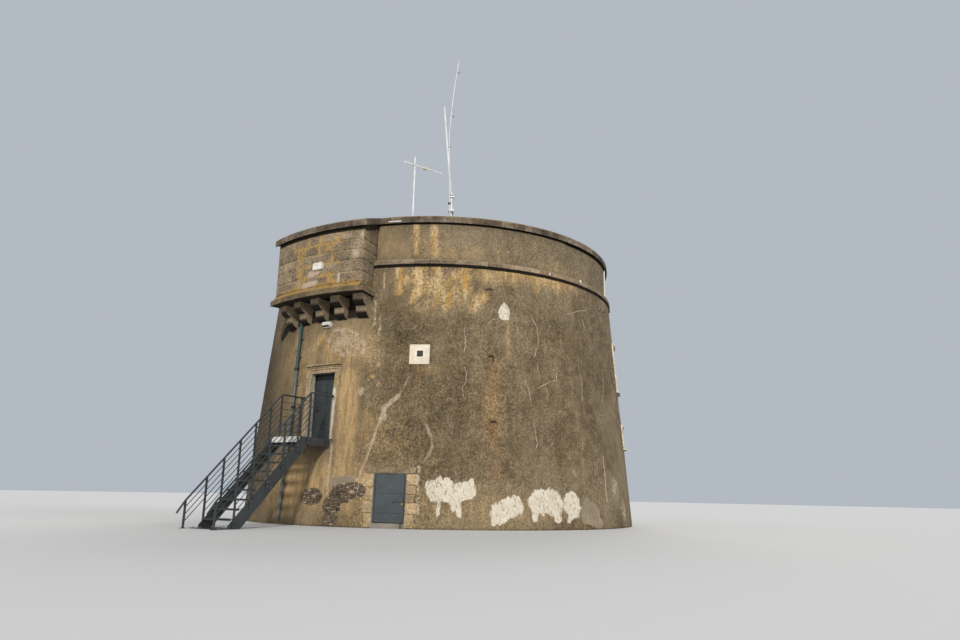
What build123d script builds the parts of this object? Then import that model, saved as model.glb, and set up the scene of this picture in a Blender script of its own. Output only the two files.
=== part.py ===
from build123d import *
from math import atan2, cos, degrees, hypot, radians, sin
import os

# Martello tower: a battered round gun tower with a bartizan over the raised entrance.
# The origin is on the tower's axis at ground level, +Z is up and the entrance faces -Y.
# Azimuths are degrees round the axis, 0 at the entrance and growing towards +X.
# All lengths are millimetres.

# Clearances
seat_gap = 0.3
mortar_joint = 8
door_gap = 8
cut_margin = 1
trim_angle = 2
full_turn = 360

# Drum wall
base_radius = 6110
batter = 0.083
wall_thickness = 2400
drum_height = 6897
stone_tail = 100
inner_radius = base_radius - wall_thickness

# Floors and vault
ground_slab_thickness = 120
ground_strip_overlap = 200
entrance_floor = 2180
first_floor_thickness = 250
vault_springing = 4300
vault_crown = 5950
vault_courses = 6

# Entrance doorway
entrance_width = 840
entrance_height = 1790
entrance_bay_half_angle = 14
entrance_recess = 200

# Ground floor doorway
ground_door_azimuth = 22.1
ground_door_width = 840
ground_door_head = 1320
ground_door_recess = 30
ground_bay_end = 30.5

# Seaward window and the blind vent below it
window_azimuth = 110
window_width = 720
window_sill = 4150
window_height = 1420
window_bay_half_angle = 12
vent_width = 480
vent_sill = 2380
vent_height = 600
vent_depth = 160
shutter_thickness = 50
shutter_recess = 120

# Plain lengths of the drum wall
near_wall_count = 2
far_wall_count = 4

# String course, parapet and coping. The wall head falls outwards by the head slope.
string_height = 190
string_projection = 45
string_nose = 45
parapet_setback = 98
parapet_thickness = 900
parapet_height = 1076
parapet_count = 4
coping_height = 182
coping_projection = 75
coping_count = 26
head_slope = 0.378
coping_edge = 30
string_count = 20

# Bartizan
bartizan_azimuth = -2.4
bartizan_half_angle = 15.4
bartizan_projection = 812
bartizan_wall = 350
sole_drop = 867
sole_edge_height = 140
sole_height = 270
sole_projection = 110
bartizan_coping_projection = 110
bartizan_coping_count = 4
corbel_count = 5
corbel_pitch = 6.9
corbel_width = 310
corbel_height = 590
corbel_setback = 170
corbel_tail = 12
corbel_fillet_height = 34
corbel_fillet_nose = 16

# Gun platform
step_width = 440
step_height = 353
pivot_radius = 420
pivot_height = 300

# Doorway stonework
surround_width = 155
surround_projection = 50
cornice_height = 95
cornice_projection = 110
cornice_overhang = 60
lintel_height = 155
ground_jamb_width = 190
ground_lintel_height = 170
ground_stone_projection = 12
window_surround_width = 150
window_surround_projection = 45
window_head_projection = 80
window_head_height = 90

# Steel doors
frame_width = 40
frame_depth = 60
leaf_thickness = 45
leaf_panel_inset = 6
leaf_stile = 70
entrance_panel_rows = 4
ground_panel_rows = 3
floor_clearance = 12
hinge_radius = 10
hinge_height = 120
hinge_strap = 80
hinge_strap_thickness = 4
hinge_clearance = 1
entrance_hinges = 3
ground_hinges = 2
lock_size = 110
lock_thickness = 35
lock_level = 0.47

# Stair
stair_width = 1020
riser_count = 10
going = 212
landing_length = 1041
landing_channel_depth = 200
tread_plate = 8
stringer_plate = 12
stringer_depth = 300
stringer_foot = 60
bearer_width = 50
bearer_height = 120
landing_bearers = 3
stringer_drop = 50
foot_plate_thickness = 10
tread_depth = 235
tread_lip = 40
fascia_height = 140
fascia_thickness = 20
post_size = 38
post_pitch = 440
post_first = 347
sloping_posts = 5
end_post_run = 2370
wall_post_gap = 15
handrail_radius = 22
handrail_sides = 10
handrail_rise = 860
guard_height = 1120
rail_rods = 5
rod_size = 14
rail_end_run = 200
rail_end_height = 330
rail_bend = 90
long_rods = 3

# Fittings
pipe_radius = 44
pipe_standoff = 70
collar_radius = 56
collar_length = 90
pipe_pin_depth = 50
pipe_route = ((-11.5, 5550), (-10.6, 4070), (-9.75, 3080), (-9.2, 150))
sign_azimuth = 27.75
sign_size = 530
sign_height = 4390
sign_thickness = 25
lamp_azimuth = -0.6
lamp_gap = 30
lamp_size = (300, 150, 140)
wall_box_azimuth = -0.1
wall_box_height = 6880
wall_box_size = (330, 90, 190)

# Aerials
aerial_plane_turn = 34.3
whip_pole_offset = 70
whip_pole_radius = 38
whip_pole_height = 4203
whip_spacing = 85
thick_whip = ((140, -850), (-130, 1800), (-290, 3450))
thick_whip_radius = 32
ferrule_radius = 44
ferrule_length = 160
thin_whip = ((20, -850), (-80, 2290), (30, 3890), (200, 5340))
thin_whip_radius = 14
clamp_height = 90
clamp_width = 190
clamp_levels = (-700, -120)
yagi_position = (-1066, -727)
yagi_pole_radius = 30
yagi_pole_height = 5873
yagi_boom_drop = 320
yagi_boom_direction = 67.9
yagi_boom_back = 456
yagi_boom_front = 1155
yagi_boom_size = 34
yagi_elements = 6
yagi_element_length = 330
yagi_element_size = 14
base_plate_size = 320
base_plate_thickness = 20

# Derived levels
drum_top_radius = base_radius - batter * drum_height
string_radius = drum_top_radius + string_projection
string_top = drum_height + string_height
parapet_top = string_top + parapet_height
parapet_radius = drum_top_radius - parapet_setback
parapet_inner = parapet_radius - parapet_thickness
entrance_head = entrance_floor + entrance_height
coping_reach = parapet_radius + coping_projection
sole_bottom = drum_height - sole_drop
sole_edge = sole_bottom + sole_edge_height
sole_top = sole_bottom + sole_height
bartizan_radius = parapet_radius + bartizan_projection
corbel_reach = bartizan_radius - corbel_setback
corbel_foot = sole_bottom - corbel_height
lamp_height = corbel_foot - lamp_gap - lamp_size[2] / 2
landing_nosing = base_radius - batter * entrance_floor + landing_length
end_post = landing_nosing + end_post_run
rail_end = end_post + rail_end_run
whip_pole_top = drum_height + pivot_height + whip_pole_height
yagi_pole_top = drum_height + yagi_pole_height
yagi_boom_height = yagi_pole_top - yagi_boom_drop
bartizan_start = bartizan_azimuth - bartizan_half_angle
bartizan_end = bartizan_azimuth + bartizan_half_angle
riser = entrance_floor / riser_count
batter_angle = degrees(atan2(batter, 1))


def drum_radius(z):
    return base_radius - batter * z


def outward(azimuth):
    return Vector(sin(radians(azimuth)), -cos(radians(azimuth)), 0)


def spun(profile, start, end):
    # A profile in the radius and height plane, revolved from one azimuth to another.
    solid = revolve(Plane.XZ * profile, axis=Axis.Z, revolution_arc=end - start)
    return Rot(0, 0, start - 90) * solid


def outline(points):
    return make_face(Polyline(*points, close=True))


def wall_piece(bottom, top, start, end):
    # A length of the battered drum wall between two heights and two azimuths.
    points = [
        (inner_radius, bottom),
        (drum_radius(bottom), bottom),
        (drum_radius(top), top),
        (inner_radius, top),
    ]
    return spun(outline(points), start, end)


def ring_piece(inner, outer, bottom, top, start, end):
    points = [(inner, bottom), (outer, bottom), (outer, top), (inner, top)]
    return spun(outline(points), start, end)


def face_band(depth, bottom, top, start, end):
    # A skin of stone on the battered face.
    points = [
        (drum_radius(bottom) + seat_gap, bottom),
        (drum_radius(bottom) + depth, bottom),
        (drum_radius(top) + depth, top),
        (drum_radius(top) + seat_gap, top),
    ]
    return spun(outline(points), start, end)


def drum_solid(growth):
    # The drum as one mass, grown a little, to cut whatever stands against it.
    points = [
        (0, 0),
        (drum_radius(0) + growth, 0),
        (drum_radius(drum_height) + growth, drum_height),
        (0, drum_height),
    ]
    return spun(outline(points), 0, full_turn)


def radial_box(azimuth, left, right, near, far, bottom, top):
    # A box along the azimuth: left and right are seen from outside, near and far are radii.
    box = Box(right - left, far - near, top - bottom)
    centre = ((left + right) / 2, -(near + far) / 2, (bottom + top) / 2)
    return Rot(0, 0, azimuth) * Pos(*centre) * box


def save(name, *solids):
    model = solids[0] if len(solids) == 1 else Compound(children=list(solids))
    export_step(model, os.path.join("parts", name + ".step"))


os.makedirs("parts", exist_ok=True)
drum = drum_solid(seat_gap)

# Ground floor with the strip that runs out through the ground doorway
ground_sill_radius = drum_radius(ground_slab_thickness) - ground_door_recess
slab = Cylinder(inner_radius - seat_gap, ground_slab_thickness,
                align=(Align.CENTER, Align.CENTER, Align.MIN))
strip_half = ground_door_width / 2 - seat_gap
strip = radial_box(ground_door_azimuth, -strip_half, strip_half, inner_radius - ground_strip_overlap,
                   ground_sill_radius, 0, ground_slab_thickness)
save("ground_floor", slab + strip)

# First floor disc, level with the entrance sill
first_floor = Cylinder(inner_radius - seat_gap, first_floor_thickness,
                       align=(Align.CENTER, Align.CENTER, Align.MAX))
save("first_floor", Pos(0, 0, entrance_floor) * first_floor)

# Bomb-proof vault: a dome laid in courses below and the flat gun platform above
vault_radius = inner_radius - seat_gap
vault_rise = vault_crown - vault_springing
dome_radius = (vault_radius ** 2 + vault_rise ** 2) / (2 * vault_rise)
dome_sweep = atan2(vault_radius, dome_radius - vault_rise)
dome_points = [
    (dome_radius * sin(dome_sweep * index / vault_courses),
     vault_crown - dome_radius * (1 - cos(dome_sweep * index / vault_courses)))
    for index in range(vault_courses + 1)
]
vault = spun(outline([*dome_points, (vault_radius, drum_height), (0, drum_height)]), 0,
             full_turn)

# Entrance bay: wall below, beside and over the raised doorway
bay = entrance_bay_half_angle
entrance_cut = radial_box(0, -entrance_width / 2, entrance_width / 2, 0, 2 * base_radius,
                          entrance_floor, entrance_head)
save("entrance_bay_below", wall_piece(0, entrance_floor, -bay, bay))
save("entrance_bay_left", wall_piece(entrance_floor, entrance_head, -bay, 0) - entrance_cut)
save("entrance_bay_right", wall_piece(entrance_floor, entrance_head, 0, bay) - entrance_cut)
save("entrance_bay_above", wall_piece(entrance_head, drum_height, -bay, bay))

# Ground door bay
ground_cut = radial_box(ground_door_azimuth, -ground_door_width / 2, ground_door_width / 2, 0,
                        2 * base_radius, -cut_margin, ground_door_head)
save("ground_bay_left", wall_piece(0, ground_door_head, bay, ground_door_azimuth) - ground_cut)
save("ground_bay_right",
     wall_piece(0, ground_door_head, ground_door_azimuth, ground_bay_end) - ground_cut)
save("ground_bay_above", wall_piece(ground_door_head, drum_height, bay, ground_bay_end))

# Plain lengths of wall
window_start = window_azimuth - window_bay_half_angle
window_end = window_azimuth + window_bay_half_angle
wall_number = 0
for run_start, run_end, pieces in (
    (ground_bay_end, window_start, near_wall_count),
    (window_end, full_turn - bay, far_wall_count),
):
    arc = (run_end - run_start) / pieces
    for index in range(pieces):
        wall_number += 1
        start = run_start + index * arc
        save(f"wall_segment_{wall_number}", wall_piece(0, drum_height, start, start + arc))

# Window bay: the vent is a blind niche, the window goes through
window_head = window_sill + window_height
vent_niche = radial_box(window_azimuth, -vent_width / 2, vent_width / 2,
                        drum_radius(vent_sill + vent_height) - vent_depth, 2 * base_radius,
                        vent_sill, vent_sill + vent_height)
window_cut = radial_box(window_azimuth, -window_width / 2, window_width / 2, 0, 2 * base_radius,
                        window_sill, window_head)
save("roof_vault", vault - window_cut)
save("window_bay_below", wall_piece(0, window_sill, window_start, window_end) - vent_niche)
save("window_bay_left",
     wall_piece(window_sill, window_head, window_start, window_azimuth) - window_cut)
save("window_bay_right",
     wall_piece(window_sill, window_head, window_azimuth, window_end) - window_cut)
save("window_bay_above", wall_piece(window_head, drum_height, window_start, window_end))

# String course: stones with eased edges bedded on the drum, stopped at the bartizan
parapet_run = full_turn - 2 * bartizan_half_angle
stone_arc = parapet_run / string_count
joint_angle = degrees(mortar_joint / string_radius)
string_profile = outline([
    (parapet_inner, drum_height),
    (string_radius - string_nose, drum_height),
    (string_radius, drum_height + string_nose),
    (string_radius, string_top - string_nose),
    (string_radius - string_nose, string_top),
    (parapet_inner, string_top),
])
save("string_course", *[
    spun(string_profile, bartizan_end + index * stone_arc + joint_angle / 2,
         bartizan_end + (index + 1) * stone_arc - joint_angle / 2)
    for index in range(string_count)
])


# Wall head: every bed of the coping lies on one cone round the tower
def bed_level(radius):
    return parapet_top + head_slope * (coping_reach - radius)


def headed_wall(inner, outer, bottom, start, end):
    # A length of upright wall that ends at the sloping bed of the coping.
    points = [(inner, bottom), (outer, bottom), (outer, bed_level(outer)), (inner, bed_level(inner))]
    return spun(outline(points), start, end)


# Parapet lengths
parapet_arc = parapet_run / parapet_count
for index in range(parapet_count):
    start = bartizan_end + index * parapet_arc
    save(f"parapet_{index + 1}",
         headed_wall(parapet_inner, parapet_radius, string_top, start, start + parapet_arc))


# Coping: separate slabs with open joints and an eased outer edge
def coping_slab(inner, outer, start, end):
    eased = outer - coping_edge
    points = [
        (inner, bed_level(inner)),
        (outer, bed_level(outer)),
        (outer, bed_level(outer) + coping_height - coping_edge),
        (eased, bed_level(eased) + coping_height),
        (inner, bed_level(inner) + coping_height),
    ]
    return spun(outline(points), start, end)


slab_arc = parapet_run / coping_count
slab_joint = degrees(mortar_joint / parapet_radius)
coping_inner = parapet_inner - coping_projection
save("parapet_coping", *[
    coping_slab(coping_inner, coping_reach, bartizan_end + index * slab_arc + slab_joint / 2,
                bartizan_end + (index + 1) * slab_arc - slab_joint / 2)
    for index in range(coping_count)
])

# Firing step inside the parapet
save("firing_step", ring_piece(parapet_inner - step_width, parapet_inner - seat_gap, drum_height,
                               drum_height + step_height, bartizan_end, full_turn + bartizan_start))

# Gun pivot stone
save("gun_pivot", Pos(0, 0, drum_height) * Cylinder(
    pivot_radius, pivot_height, align=(Align.CENTER, Align.CENTER, Align.MIN)))

# Bartizan corbels: two rolls with a fillet between them, tailed against the drum
corbel_back = drum_top_radius - stone_tail
corbel_roll = (corbel_reach - drum_radius(corbel_foot) + corbel_tail) / 2
roll_pitch = corbel_height / 2


def roll_face(reach, top):
    # One course of a corbel: an upright face that turns under in a quarter circle.
    bottom = top - roll_pitch
    turn = bottom + corbel_roll
    diagonal = corbel_roll * cos(radians(45))
    return make_face([
        Line((corbel_back, top), (reach, top)),
        Line((reach, top), (reach, turn)),
        ThreePointArc((reach, turn), (reach - corbel_roll + diagonal, turn - diagonal),
                      (reach - corbel_roll, bottom)),
        Line((reach - corbel_roll, bottom), (corbel_back, bottom)),
        Line((corbel_back, bottom), (corbel_back, top)),
    ])


lower_reach = corbel_reach - corbel_roll
lower_top = sole_bottom - roll_pitch
fillet_face = outline([
    (corbel_back, lower_top - corbel_fillet_height),
    (lower_reach + corbel_fillet_nose, lower_top - corbel_fillet_height),
    (lower_reach + corbel_fillet_nose, lower_top),
    (corbel_back, lower_top),
])
corbel_profile = roll_face(corbel_reach, sole_bottom) + roll_face(lower_reach, lower_top) + fillet_face
corbel_blank = extrude(Plane.XZ * corbel_profile, amount=corbel_width / 2, both=True)
corbel_azimuths = [
    bartizan_azimuth + (index - (corbel_count - 1) / 2) * corbel_pitch
    for index in range(corbel_count)
]
save("bartizan_corbels", *[
    Rot(0, 0, azimuth - 90) * corbel_blank - drum for azimuth in corbel_azimuths
])

# Bartizan sole: weathered front stones from corbel to corbel, and a return stone at each end
sole_radius = bartizan_radius + sole_projection
sole_inner = bartizan_radius - bartizan_wall
sole_overhang = degrees(sole_projection / bartizan_radius)
cheek_angle = degrees(bartizan_wall / bartizan_radius)
sole_joint = degrees(mortar_joint / bartizan_radius) / 2
sole_start = bartizan_start - sole_overhang
sole_end = bartizan_end + sole_overhang
sole_cuts = [sole_start, *corbel_azimuths[1:-1], sole_end]
sole_weathering = outline([
    (sole_inner, sole_edge),
    (sole_radius, sole_edge),
    (bartizan_radius, sole_top),
    (sole_inner, sole_top),
])
sole_stones = []
for left, right in zip(sole_cuts, sole_cuts[1:]):
    stone = ring_piece(sole_inner, sole_radius, sole_bottom, sole_edge, left + sole_joint,
                       right - sole_joint)
    sole_stones.append(stone + spun(sole_weathering, max(left + sole_joint, bartizan_start),
                                    min(right - sole_joint, bartizan_end)))
for left, right in (
    (sole_start + sole_joint, bartizan_start + cheek_angle),
    (bartizan_end - cheek_angle, sole_end - sole_joint),
):
    sole_stones.append(ring_piece(drum_top_radius - stone_tail, sole_inner - mortar_joint, sole_bottom,
                                  sole_edge, left, right) - drum)
save("bartizan_sole", *sole_stones)

# Bartizan walls
save("bartizan_front",
     headed_wall(sole_inner, bartizan_radius, sole_top, bartizan_start, bartizan_end))
cheeks = []
for left, right in (
    (bartizan_start, bartizan_start + cheek_angle),
    (bartizan_end - cheek_angle, bartizan_end),
):
    cheeks.append(headed_wall(parapet_inner, sole_inner - seat_gap, sole_edge, left, right) - drum)
save("bartizan_cheeks", *cheeks)

# Bartizan coping: front slabs, and on each cheek an outer and an inner return slab
hood = degrees(bartizan_coping_projection / bartizan_radius)
hood_start = bartizan_start - hood
hood_end = bartizan_end + hood
front_arc = (hood_end - hood_start) / bartizan_coping_count
coping_stones = [
    coping_slab(sole_inner - coping_projection, bartizan_radius + bartizan_coping_projection,
                hood_start + index * front_arc + slab_joint / 2,
                hood_start + (index + 1) * front_arc - slab_joint / 2)
    for index in range(bartizan_coping_count)
]
return_inner = coping_reach + mortar_joint
return_outer = sole_inner - coping_projection - mortar_joint
for left, right in (
    (hood_start, bartizan_start + cheek_angle),
    (bartizan_end - cheek_angle, hood_end),
):
    coping_stones.append(coping_slab(return_inner, return_outer, left, right))
for left, right in (
    (bartizan_start + slab_joint, bartizan_start + cheek_angle),
    (bartizan_end - cheek_angle, bartizan_end - slab_joint),
):
    coping_stones.append(coping_slab(coping_inner, coping_reach, left, right))
save("bartizan_coping", *coping_stones)

# Entrance surround: architrave jambs, lintel and a projecting cornice
half = entrance_width / 2
side_angle = trim_angle + degrees(
    (half + surround_width + cornice_overhang) / drum_radius(entrance_floor))
jamb_band = face_band(surround_projection, entrance_floor, entrance_head, -side_angle, side_angle)
lintel_top = entrance_head + lintel_height
lintel_band = face_band(surround_projection, entrance_head + mortar_joint / 2, lintel_top,
                        -side_angle, side_angle)
cornice_band = face_band(cornice_projection, lintel_top + seat_gap, lintel_top + cornice_height,
                         -side_angle, side_angle)
surround_outer = half + surround_width


def column(left, right):
    return radial_box(0, left, right, 0, 2 * base_radius, 0, 2 * drum_height)


save("entrance_surround",
     jamb_band & column(-surround_outer, -half),
     jamb_band & column(half, surround_outer),
     lintel_band & column(-surround_outer, surround_outer),
     cornice_band & column(-surround_outer - cornice_overhang, surround_outer + cornice_overhang))

# Ground doorway stones, almost flush with the wall
ground_half = ground_door_width / 2
ground_outer = ground_half + ground_jamb_width
ground_angle = trim_angle + degrees(ground_outer / drum_radius(0))
ground_band = face_band(ground_stone_projection, 0, ground_door_head,
                        ground_door_azimuth - ground_angle, ground_door_azimuth + ground_angle)
ground_lintel = face_band(ground_stone_projection, ground_door_head + mortar_joint / 2,
                          ground_door_head + ground_lintel_height,
                          ground_door_azimuth - ground_angle, ground_door_azimuth + ground_angle)


def ground_column(left, right):
    return radial_box(ground_door_azimuth, left, right, 0, 2 * base_radius,
                      -cut_margin, drum_height)


save("ground_door_surround",
     ground_band & ground_column(-ground_outer, -ground_half),
     ground_band & ground_column(ground_half, ground_outer),
     ground_lintel & ground_column(-ground_outer, ground_outer))


# Steel doors. A doorway is drawn with its outer face on y = 0 and the inside at +y.
def door_frame(width, height):
    post = Box(frame_width, frame_depth, height - seat_gap,
               align=(Align.MIN, Align.MIN, Align.MIN))
    head = Box(width - 2 * frame_width - 2 * seat_gap, frame_depth, frame_width,
               align=(Align.CENTER, Align.MIN, Align.MIN))
    return [
        Pos(-width / 2 + seat_gap, 0, 0) * post,
        Pos(width / 2 - frame_width - seat_gap, 0, 0) * post,
        Pos(0, 0, height - frame_width - seat_gap) * head,
    ]


def hinge_levels(height, count):
    return [height * (index + 0.5) / count for index in range(count)]


def door_leaf(width, height, rows):
    # The leaf, with sunk panels on its outer face.
    leaf_width = width - 2 * frame_width - 2 * door_gap
    leaf_height = height - frame_width - door_gap - floor_clearance
    leaf = Box(leaf_width, leaf_thickness, leaf_height, align=(Align.CENTER, Align.MIN, Align.MIN))
    panel_height = (leaf_height - (rows + 1) * leaf_stile) / rows
    panel_width = leaf_width / 2 - 1.5 * leaf_stile
    for row in range(rows):
        for side in (-1, 1):
            sunk = Box(panel_width, leaf_panel_inset, panel_height,
                       align=(Align.CENTER, Align.MIN, Align.MIN))
            x = side * (panel_width + leaf_stile) / 2
            z = leaf_stile + row * (panel_height + leaf_stile)
            leaf -= Pos(x, 0, z) * sunk
    return Pos(0, 0, floor_clearance) * leaf


# Half of a lift-off hinge: a barrel and its strap. side is +1 where the strap runs to +x,
# face is +1 where the hinge stands on the inner face and -1 on the outer one.
def knuckle(axis_x, face_y, bottom, side, face, strap_length):
    barrel_y = face_y + face * (hinge_radius + hinge_clearance)
    barrel = Pos(axis_x, barrel_y, bottom) * Cylinder(
        hinge_radius, hinge_height / 2 - seat_gap, align=(Align.CENTER, Align.CENTER, Align.MIN))
    strap = Box(strap_length, hinge_strap_thickness, hinge_height / 2 - seat_gap,
                align=(Align.CENTER, Align.CENTER, Align.MIN))
    strap_x = axis_x + side * (strap_length / 2 + hinge_clearance)
    strap_y = face_y + face * hinge_strap_thickness / 2
    return barrel + Pos(strap_x, strap_y, bottom) * strap


def hung_door(width, height, hinge_side, swings_in, hinges, rows):
    # The frame pieces and the leaf of one doorway. hinge_side is +1 for the right jamb.
    clear_half = width / 2 - frame_width
    axis_x = hinge_side * clear_half
    face = 1 if swings_in else -1
    face_y = frame_depth if swings_in else 0
    leaf_y = frame_depth - leaf_thickness if swings_in else 0
    frame = door_frame(width, height)
    leaf = Pos(0, leaf_y, 0) * door_leaf(width, height, rows)
    post = 1 if hinge_side > 0 else 0
    for level in hinge_levels(height - frame_width, hinges):
        bottom = level - hinge_height / 2
        frame[post] += knuckle(axis_x, face_y, bottom, hinge_side, face,
                               frame_width - 2 * hinge_clearance)
        leaf += knuckle(axis_x, face_y, bottom + hinge_height / 2, -hinge_side, face, hinge_strap)
    lock = Box(lock_size, lock_thickness, lock_size, align=(Align.CENTER, Align.MAX, Align.CENTER))
    lock_x = -hinge_side * (clear_half - door_gap - leaf_stile / 2 - lock_size / 4)
    leaf += Pos(lock_x, leaf_y + hinge_clearance, lock_level * height) * lock
    return frame, leaf


def place_doorway(piece, azimuth, face_radius, floor):
    return Rot(0, 0, azimuth) * Pos(0, -face_radius, floor) * piece


entrance_face = drum_radius((entrance_floor + entrance_head) / 2) - entrance_recess
entrance_frame, entrance_leaf = hung_door(entrance_width, entrance_height, 1, True,
                                          entrance_hinges, entrance_panel_rows)
save("entrance_frame", *[
    place_doorway(piece, 0, entrance_face, entrance_floor) for piece in entrance_frame
])
save("entrance_door", place_doorway(entrance_leaf, 0, entrance_face, entrance_floor))

ground_face = drum_radius(ground_door_head) - ground_door_recess
ground_height = ground_door_head - ground_slab_thickness
ground_frame, ground_leaf = hung_door(ground_door_width, ground_height, -1, False,
                                      ground_hinges, ground_panel_rows)
save("ground_door_frame", *[
    place_doorway(piece, ground_door_azimuth, ground_face, ground_slab_thickness)
    for piece in ground_frame
])
save("ground_door", place_doorway(ground_leaf, ground_door_azimuth, ground_face,
                                  ground_slab_thickness))

# Seaward window: raised stone surrounds with head and sill, and a steel shutter
opening_angle = trim_angle + degrees(
    (window_width / 2 + window_surround_width) / drum_radius(window_sill))


def window_column(left, right, bottom, top):
    return radial_box(window_azimuth, left, right, 0, 2 * base_radius, bottom, top)


def opening_surround(width, sill, height):
    outer = width / 2 + window_surround_width
    head = sill + height
    angles = (window_azimuth - opening_angle, window_azimuth + opening_angle)
    joint = mortar_joint / 2
    jambs = face_band(window_surround_projection, sill, head, *angles)
    hood = face_band(window_head_projection, head + joint, head + window_head_height, *angles)
    foot = face_band(window_head_projection, sill - window_head_height, sill - joint, *angles)
    return [
        jambs & window_column(-outer, -width / 2, sill, head),
        jambs & window_column(width / 2, outer, sill, head),
        hood & window_column(-outer, outer, head, head + window_head_height),
        foot & window_column(-outer, outer, sill - window_head_height, sill),
    ]


save("window_surrounds", *opening_surround(window_width, window_sill, window_height),
     *opening_surround(vent_width, vent_sill, vent_height))
shutter_face = drum_radius(window_head) - shutter_recess
shutter = radial_box(window_azimuth, -window_width / 2 + seat_gap, window_width / 2 - seat_gap,
                     shutter_face - shutter_thickness, shutter_face,
                     window_sill + seat_gap, window_head - seat_gap)
save("window_shutter", shutter)

# Stair. The side plane runs outwards from the wall and upwards.
side_plane = Plane(origin=(0, 0, 0), x_dir=(0, -1, 0), z_dir=(-1, 0, 0))
slope = riser / going
slope_angle = atan2(riser, going)
drop_rise = stringer_drop / cos(slope_angle)
depth_rise = stringer_depth / cos(slope_angle)
web_outer = (stair_width - post_size) / 2
web_inner = web_outer - stringer_plate


def nosing_line(u):
    return entrance_floor - slope * (u - landing_nosing)


def distance_at(height, below):
    # Where the line that lies some way below the nosing line reaches a height.
    return landing_nosing + (entrance_floor - below - height) / slope


def side_plate(points, middle, thickness):
    return Pos(middle, 0, 0) * extrude(side_plane * outline(points), amount=thickness / 2, both=True)


landing_bottom = entrance_floor - landing_channel_depth
toe = distance_at(foot_plate_thickness + stringer_foot, drop_rise)
stringer_outline = [
    (drum_top_radius, entrance_floor),
    (distance_at(entrance_floor, drop_rise), entrance_floor),
    (toe, foot_plate_thickness + stringer_foot),
    (toe, foot_plate_thickness),
    (distance_at(foot_plate_thickness, drop_rise + depth_rise), foot_plate_thickness),
    (distance_at(landing_bottom, drop_rise + depth_rise), landing_bottom),
    (drum_top_radius, landing_bottom),
]
web_middle = (web_outer + web_inner) / 2
foot_start = distance_at(foot_plate_thickness, drop_rise + depth_rise)
foot_end = landing_nosing + riser_count * going + tread_depth / 2
foot_plate = Pos(0, -(foot_start + foot_end) / 2, foot_plate_thickness / 2) * Box(
    2 * web_outer, foot_end - foot_start, foot_plate_thickness)
stringers = foot_plate
for side in (-1, 1):
    stringers += side_plate(stringer_outline, side * web_middle, stringer_plate) - drum
save("stair_stringers", stringers)

# Folded tread plates between the stringers
tread_span = 2 * web_inner - 2 * seat_gap
treads = []
for index in range(1, riser_count):
    nose_at = landing_nosing + index * going
    top = entrance_floor - index * riser
    back = nose_at - tread_depth
    treads.append(side_plate([
        (back, top),
        (nose_at, top),
        (nose_at, top - tread_lip),
        (nose_at - tread_plate, top - tread_lip),
        (nose_at - tread_plate, top - tread_plate),
        (back, top - tread_plate),
    ], 0, tread_span))
save("stair_treads", *treads)

# Landing deck on its bearers
deck = radial_box(0, -tread_span / 2, tread_span / 2, drum_top_radius, landing_nosing,
                  entrance_floor - tread_plate, entrance_floor)
landing_back = drum_radius(entrance_floor) + seat_gap
for index in range(landing_bearers):
    front = landing_nosing - index * (landing_nosing - landing_back - bearer_width) / (
        landing_bearers - 1)
    deck += radial_box(0, -tread_span / 2, tread_span / 2, front - bearer_width, front,
                       entrance_floor - tread_plate - bearer_height, entrance_floor - tread_plate)
save("stair_landing", deck - drum)

# Painted board across the front of the landing
save("landing_fascia", radial_box(0, -tread_span / 2, tread_span / 2, landing_nosing + seat_gap,
                                  landing_nosing + fascia_thickness,
                                  entrance_floor - fascia_height, entrance_floor))


# Guard rails: posts, a bent tube handrail and parallel rods, welded into one frame a side
guard_top = entrance_floor + guard_height
corner = landing_nosing - (guard_height - handrail_rise) / slope
wall_post = drum_radius(entrance_floor) + surround_projection + wall_post_gap + post_size / 2


def rail_line(u):
    return nosing_line(u) + handrail_rise


def slanted_bar(start, end, size):
    # A square bar in the side plane between two points.
    length = hypot(end[0] - start[0], end[1] - start[1])
    turn = degrees(atan2(end[1] - start[1], end[0] - start[0]))
    middle = ((start[0] + end[0]) / 2, (start[1] + end[1]) / 2)
    return side_plane * Pos(*middle) * Rot(0, 0, turn) * Box(length, size, size)


def post(u, bottom, top):
    return slanted_bar((u, bottom), (u, top), post_size)


def guard_frame():
    mid_web = drop_rise + depth_rise / 2
    slope_posts = [corner + post_first + index * post_pitch for index in range(sloping_posts)]
    rail_path = side_plane * FilletPolyline(
        (drum_top_radius, guard_top), (corner, guard_top), (end_post, rail_line(end_post)),
        (rail_end, rail_end_height), radius=rail_bend)
    rail_section = Plane(origin=rail_path @ 0, z_dir=rail_path % 0) * RegularPolygon(
        handrail_radius, handrail_sides)
    frame = sweep(rail_section, path=rail_path)
    frame += post(wall_post, landing_bottom, guard_top)
    frame += post(corner, landing_bottom, guard_top)
    frame += post(end_post, 0, rail_line(end_post))
    for u in slope_posts:
        frame += post(u, max(nosing_line(u) - mid_web, 0), rail_line(u))
    for index in range(1, rail_rods + 1):
        share = index / (rail_rods + 1)
        level = guard_top - share * guard_height
        frame += slanted_bar((wall_post, level), (corner, level), rod_size)
        below = share * (handrail_rise + drop_rise)
        last = end_post if index <= long_rods else slope_posts[-1]
        frame += slanted_bar((corner, rail_line(corner) - below), (last, rail_line(last) - below),
                             rod_size)
    return frame - drum_solid(surround_projection + seat_gap)


guard = guard_frame()
guard_offset = stair_width / 2 + seat_gap
save("guard_left", Pos(-guard_offset, 0, 0) * guard)
save("guard_right", Pos(guard_offset, 0, 0) * guard)

# Downpipe in straight lengths with collars that are pinned to the wall


def pipe_point(azimuth, z):
    return outward(azimuth) * (drum_radius(z) + pipe_standoff) + Vector(0, 0, z)


def rod(start, end, radius, overrun=0):
    run = end - start
    plane = Plane(origin=start - run.normalized() * overrun, z_dir=run)
    return extrude(plane * Circle(radius), amount=run.length + 2 * overrun)


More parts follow.
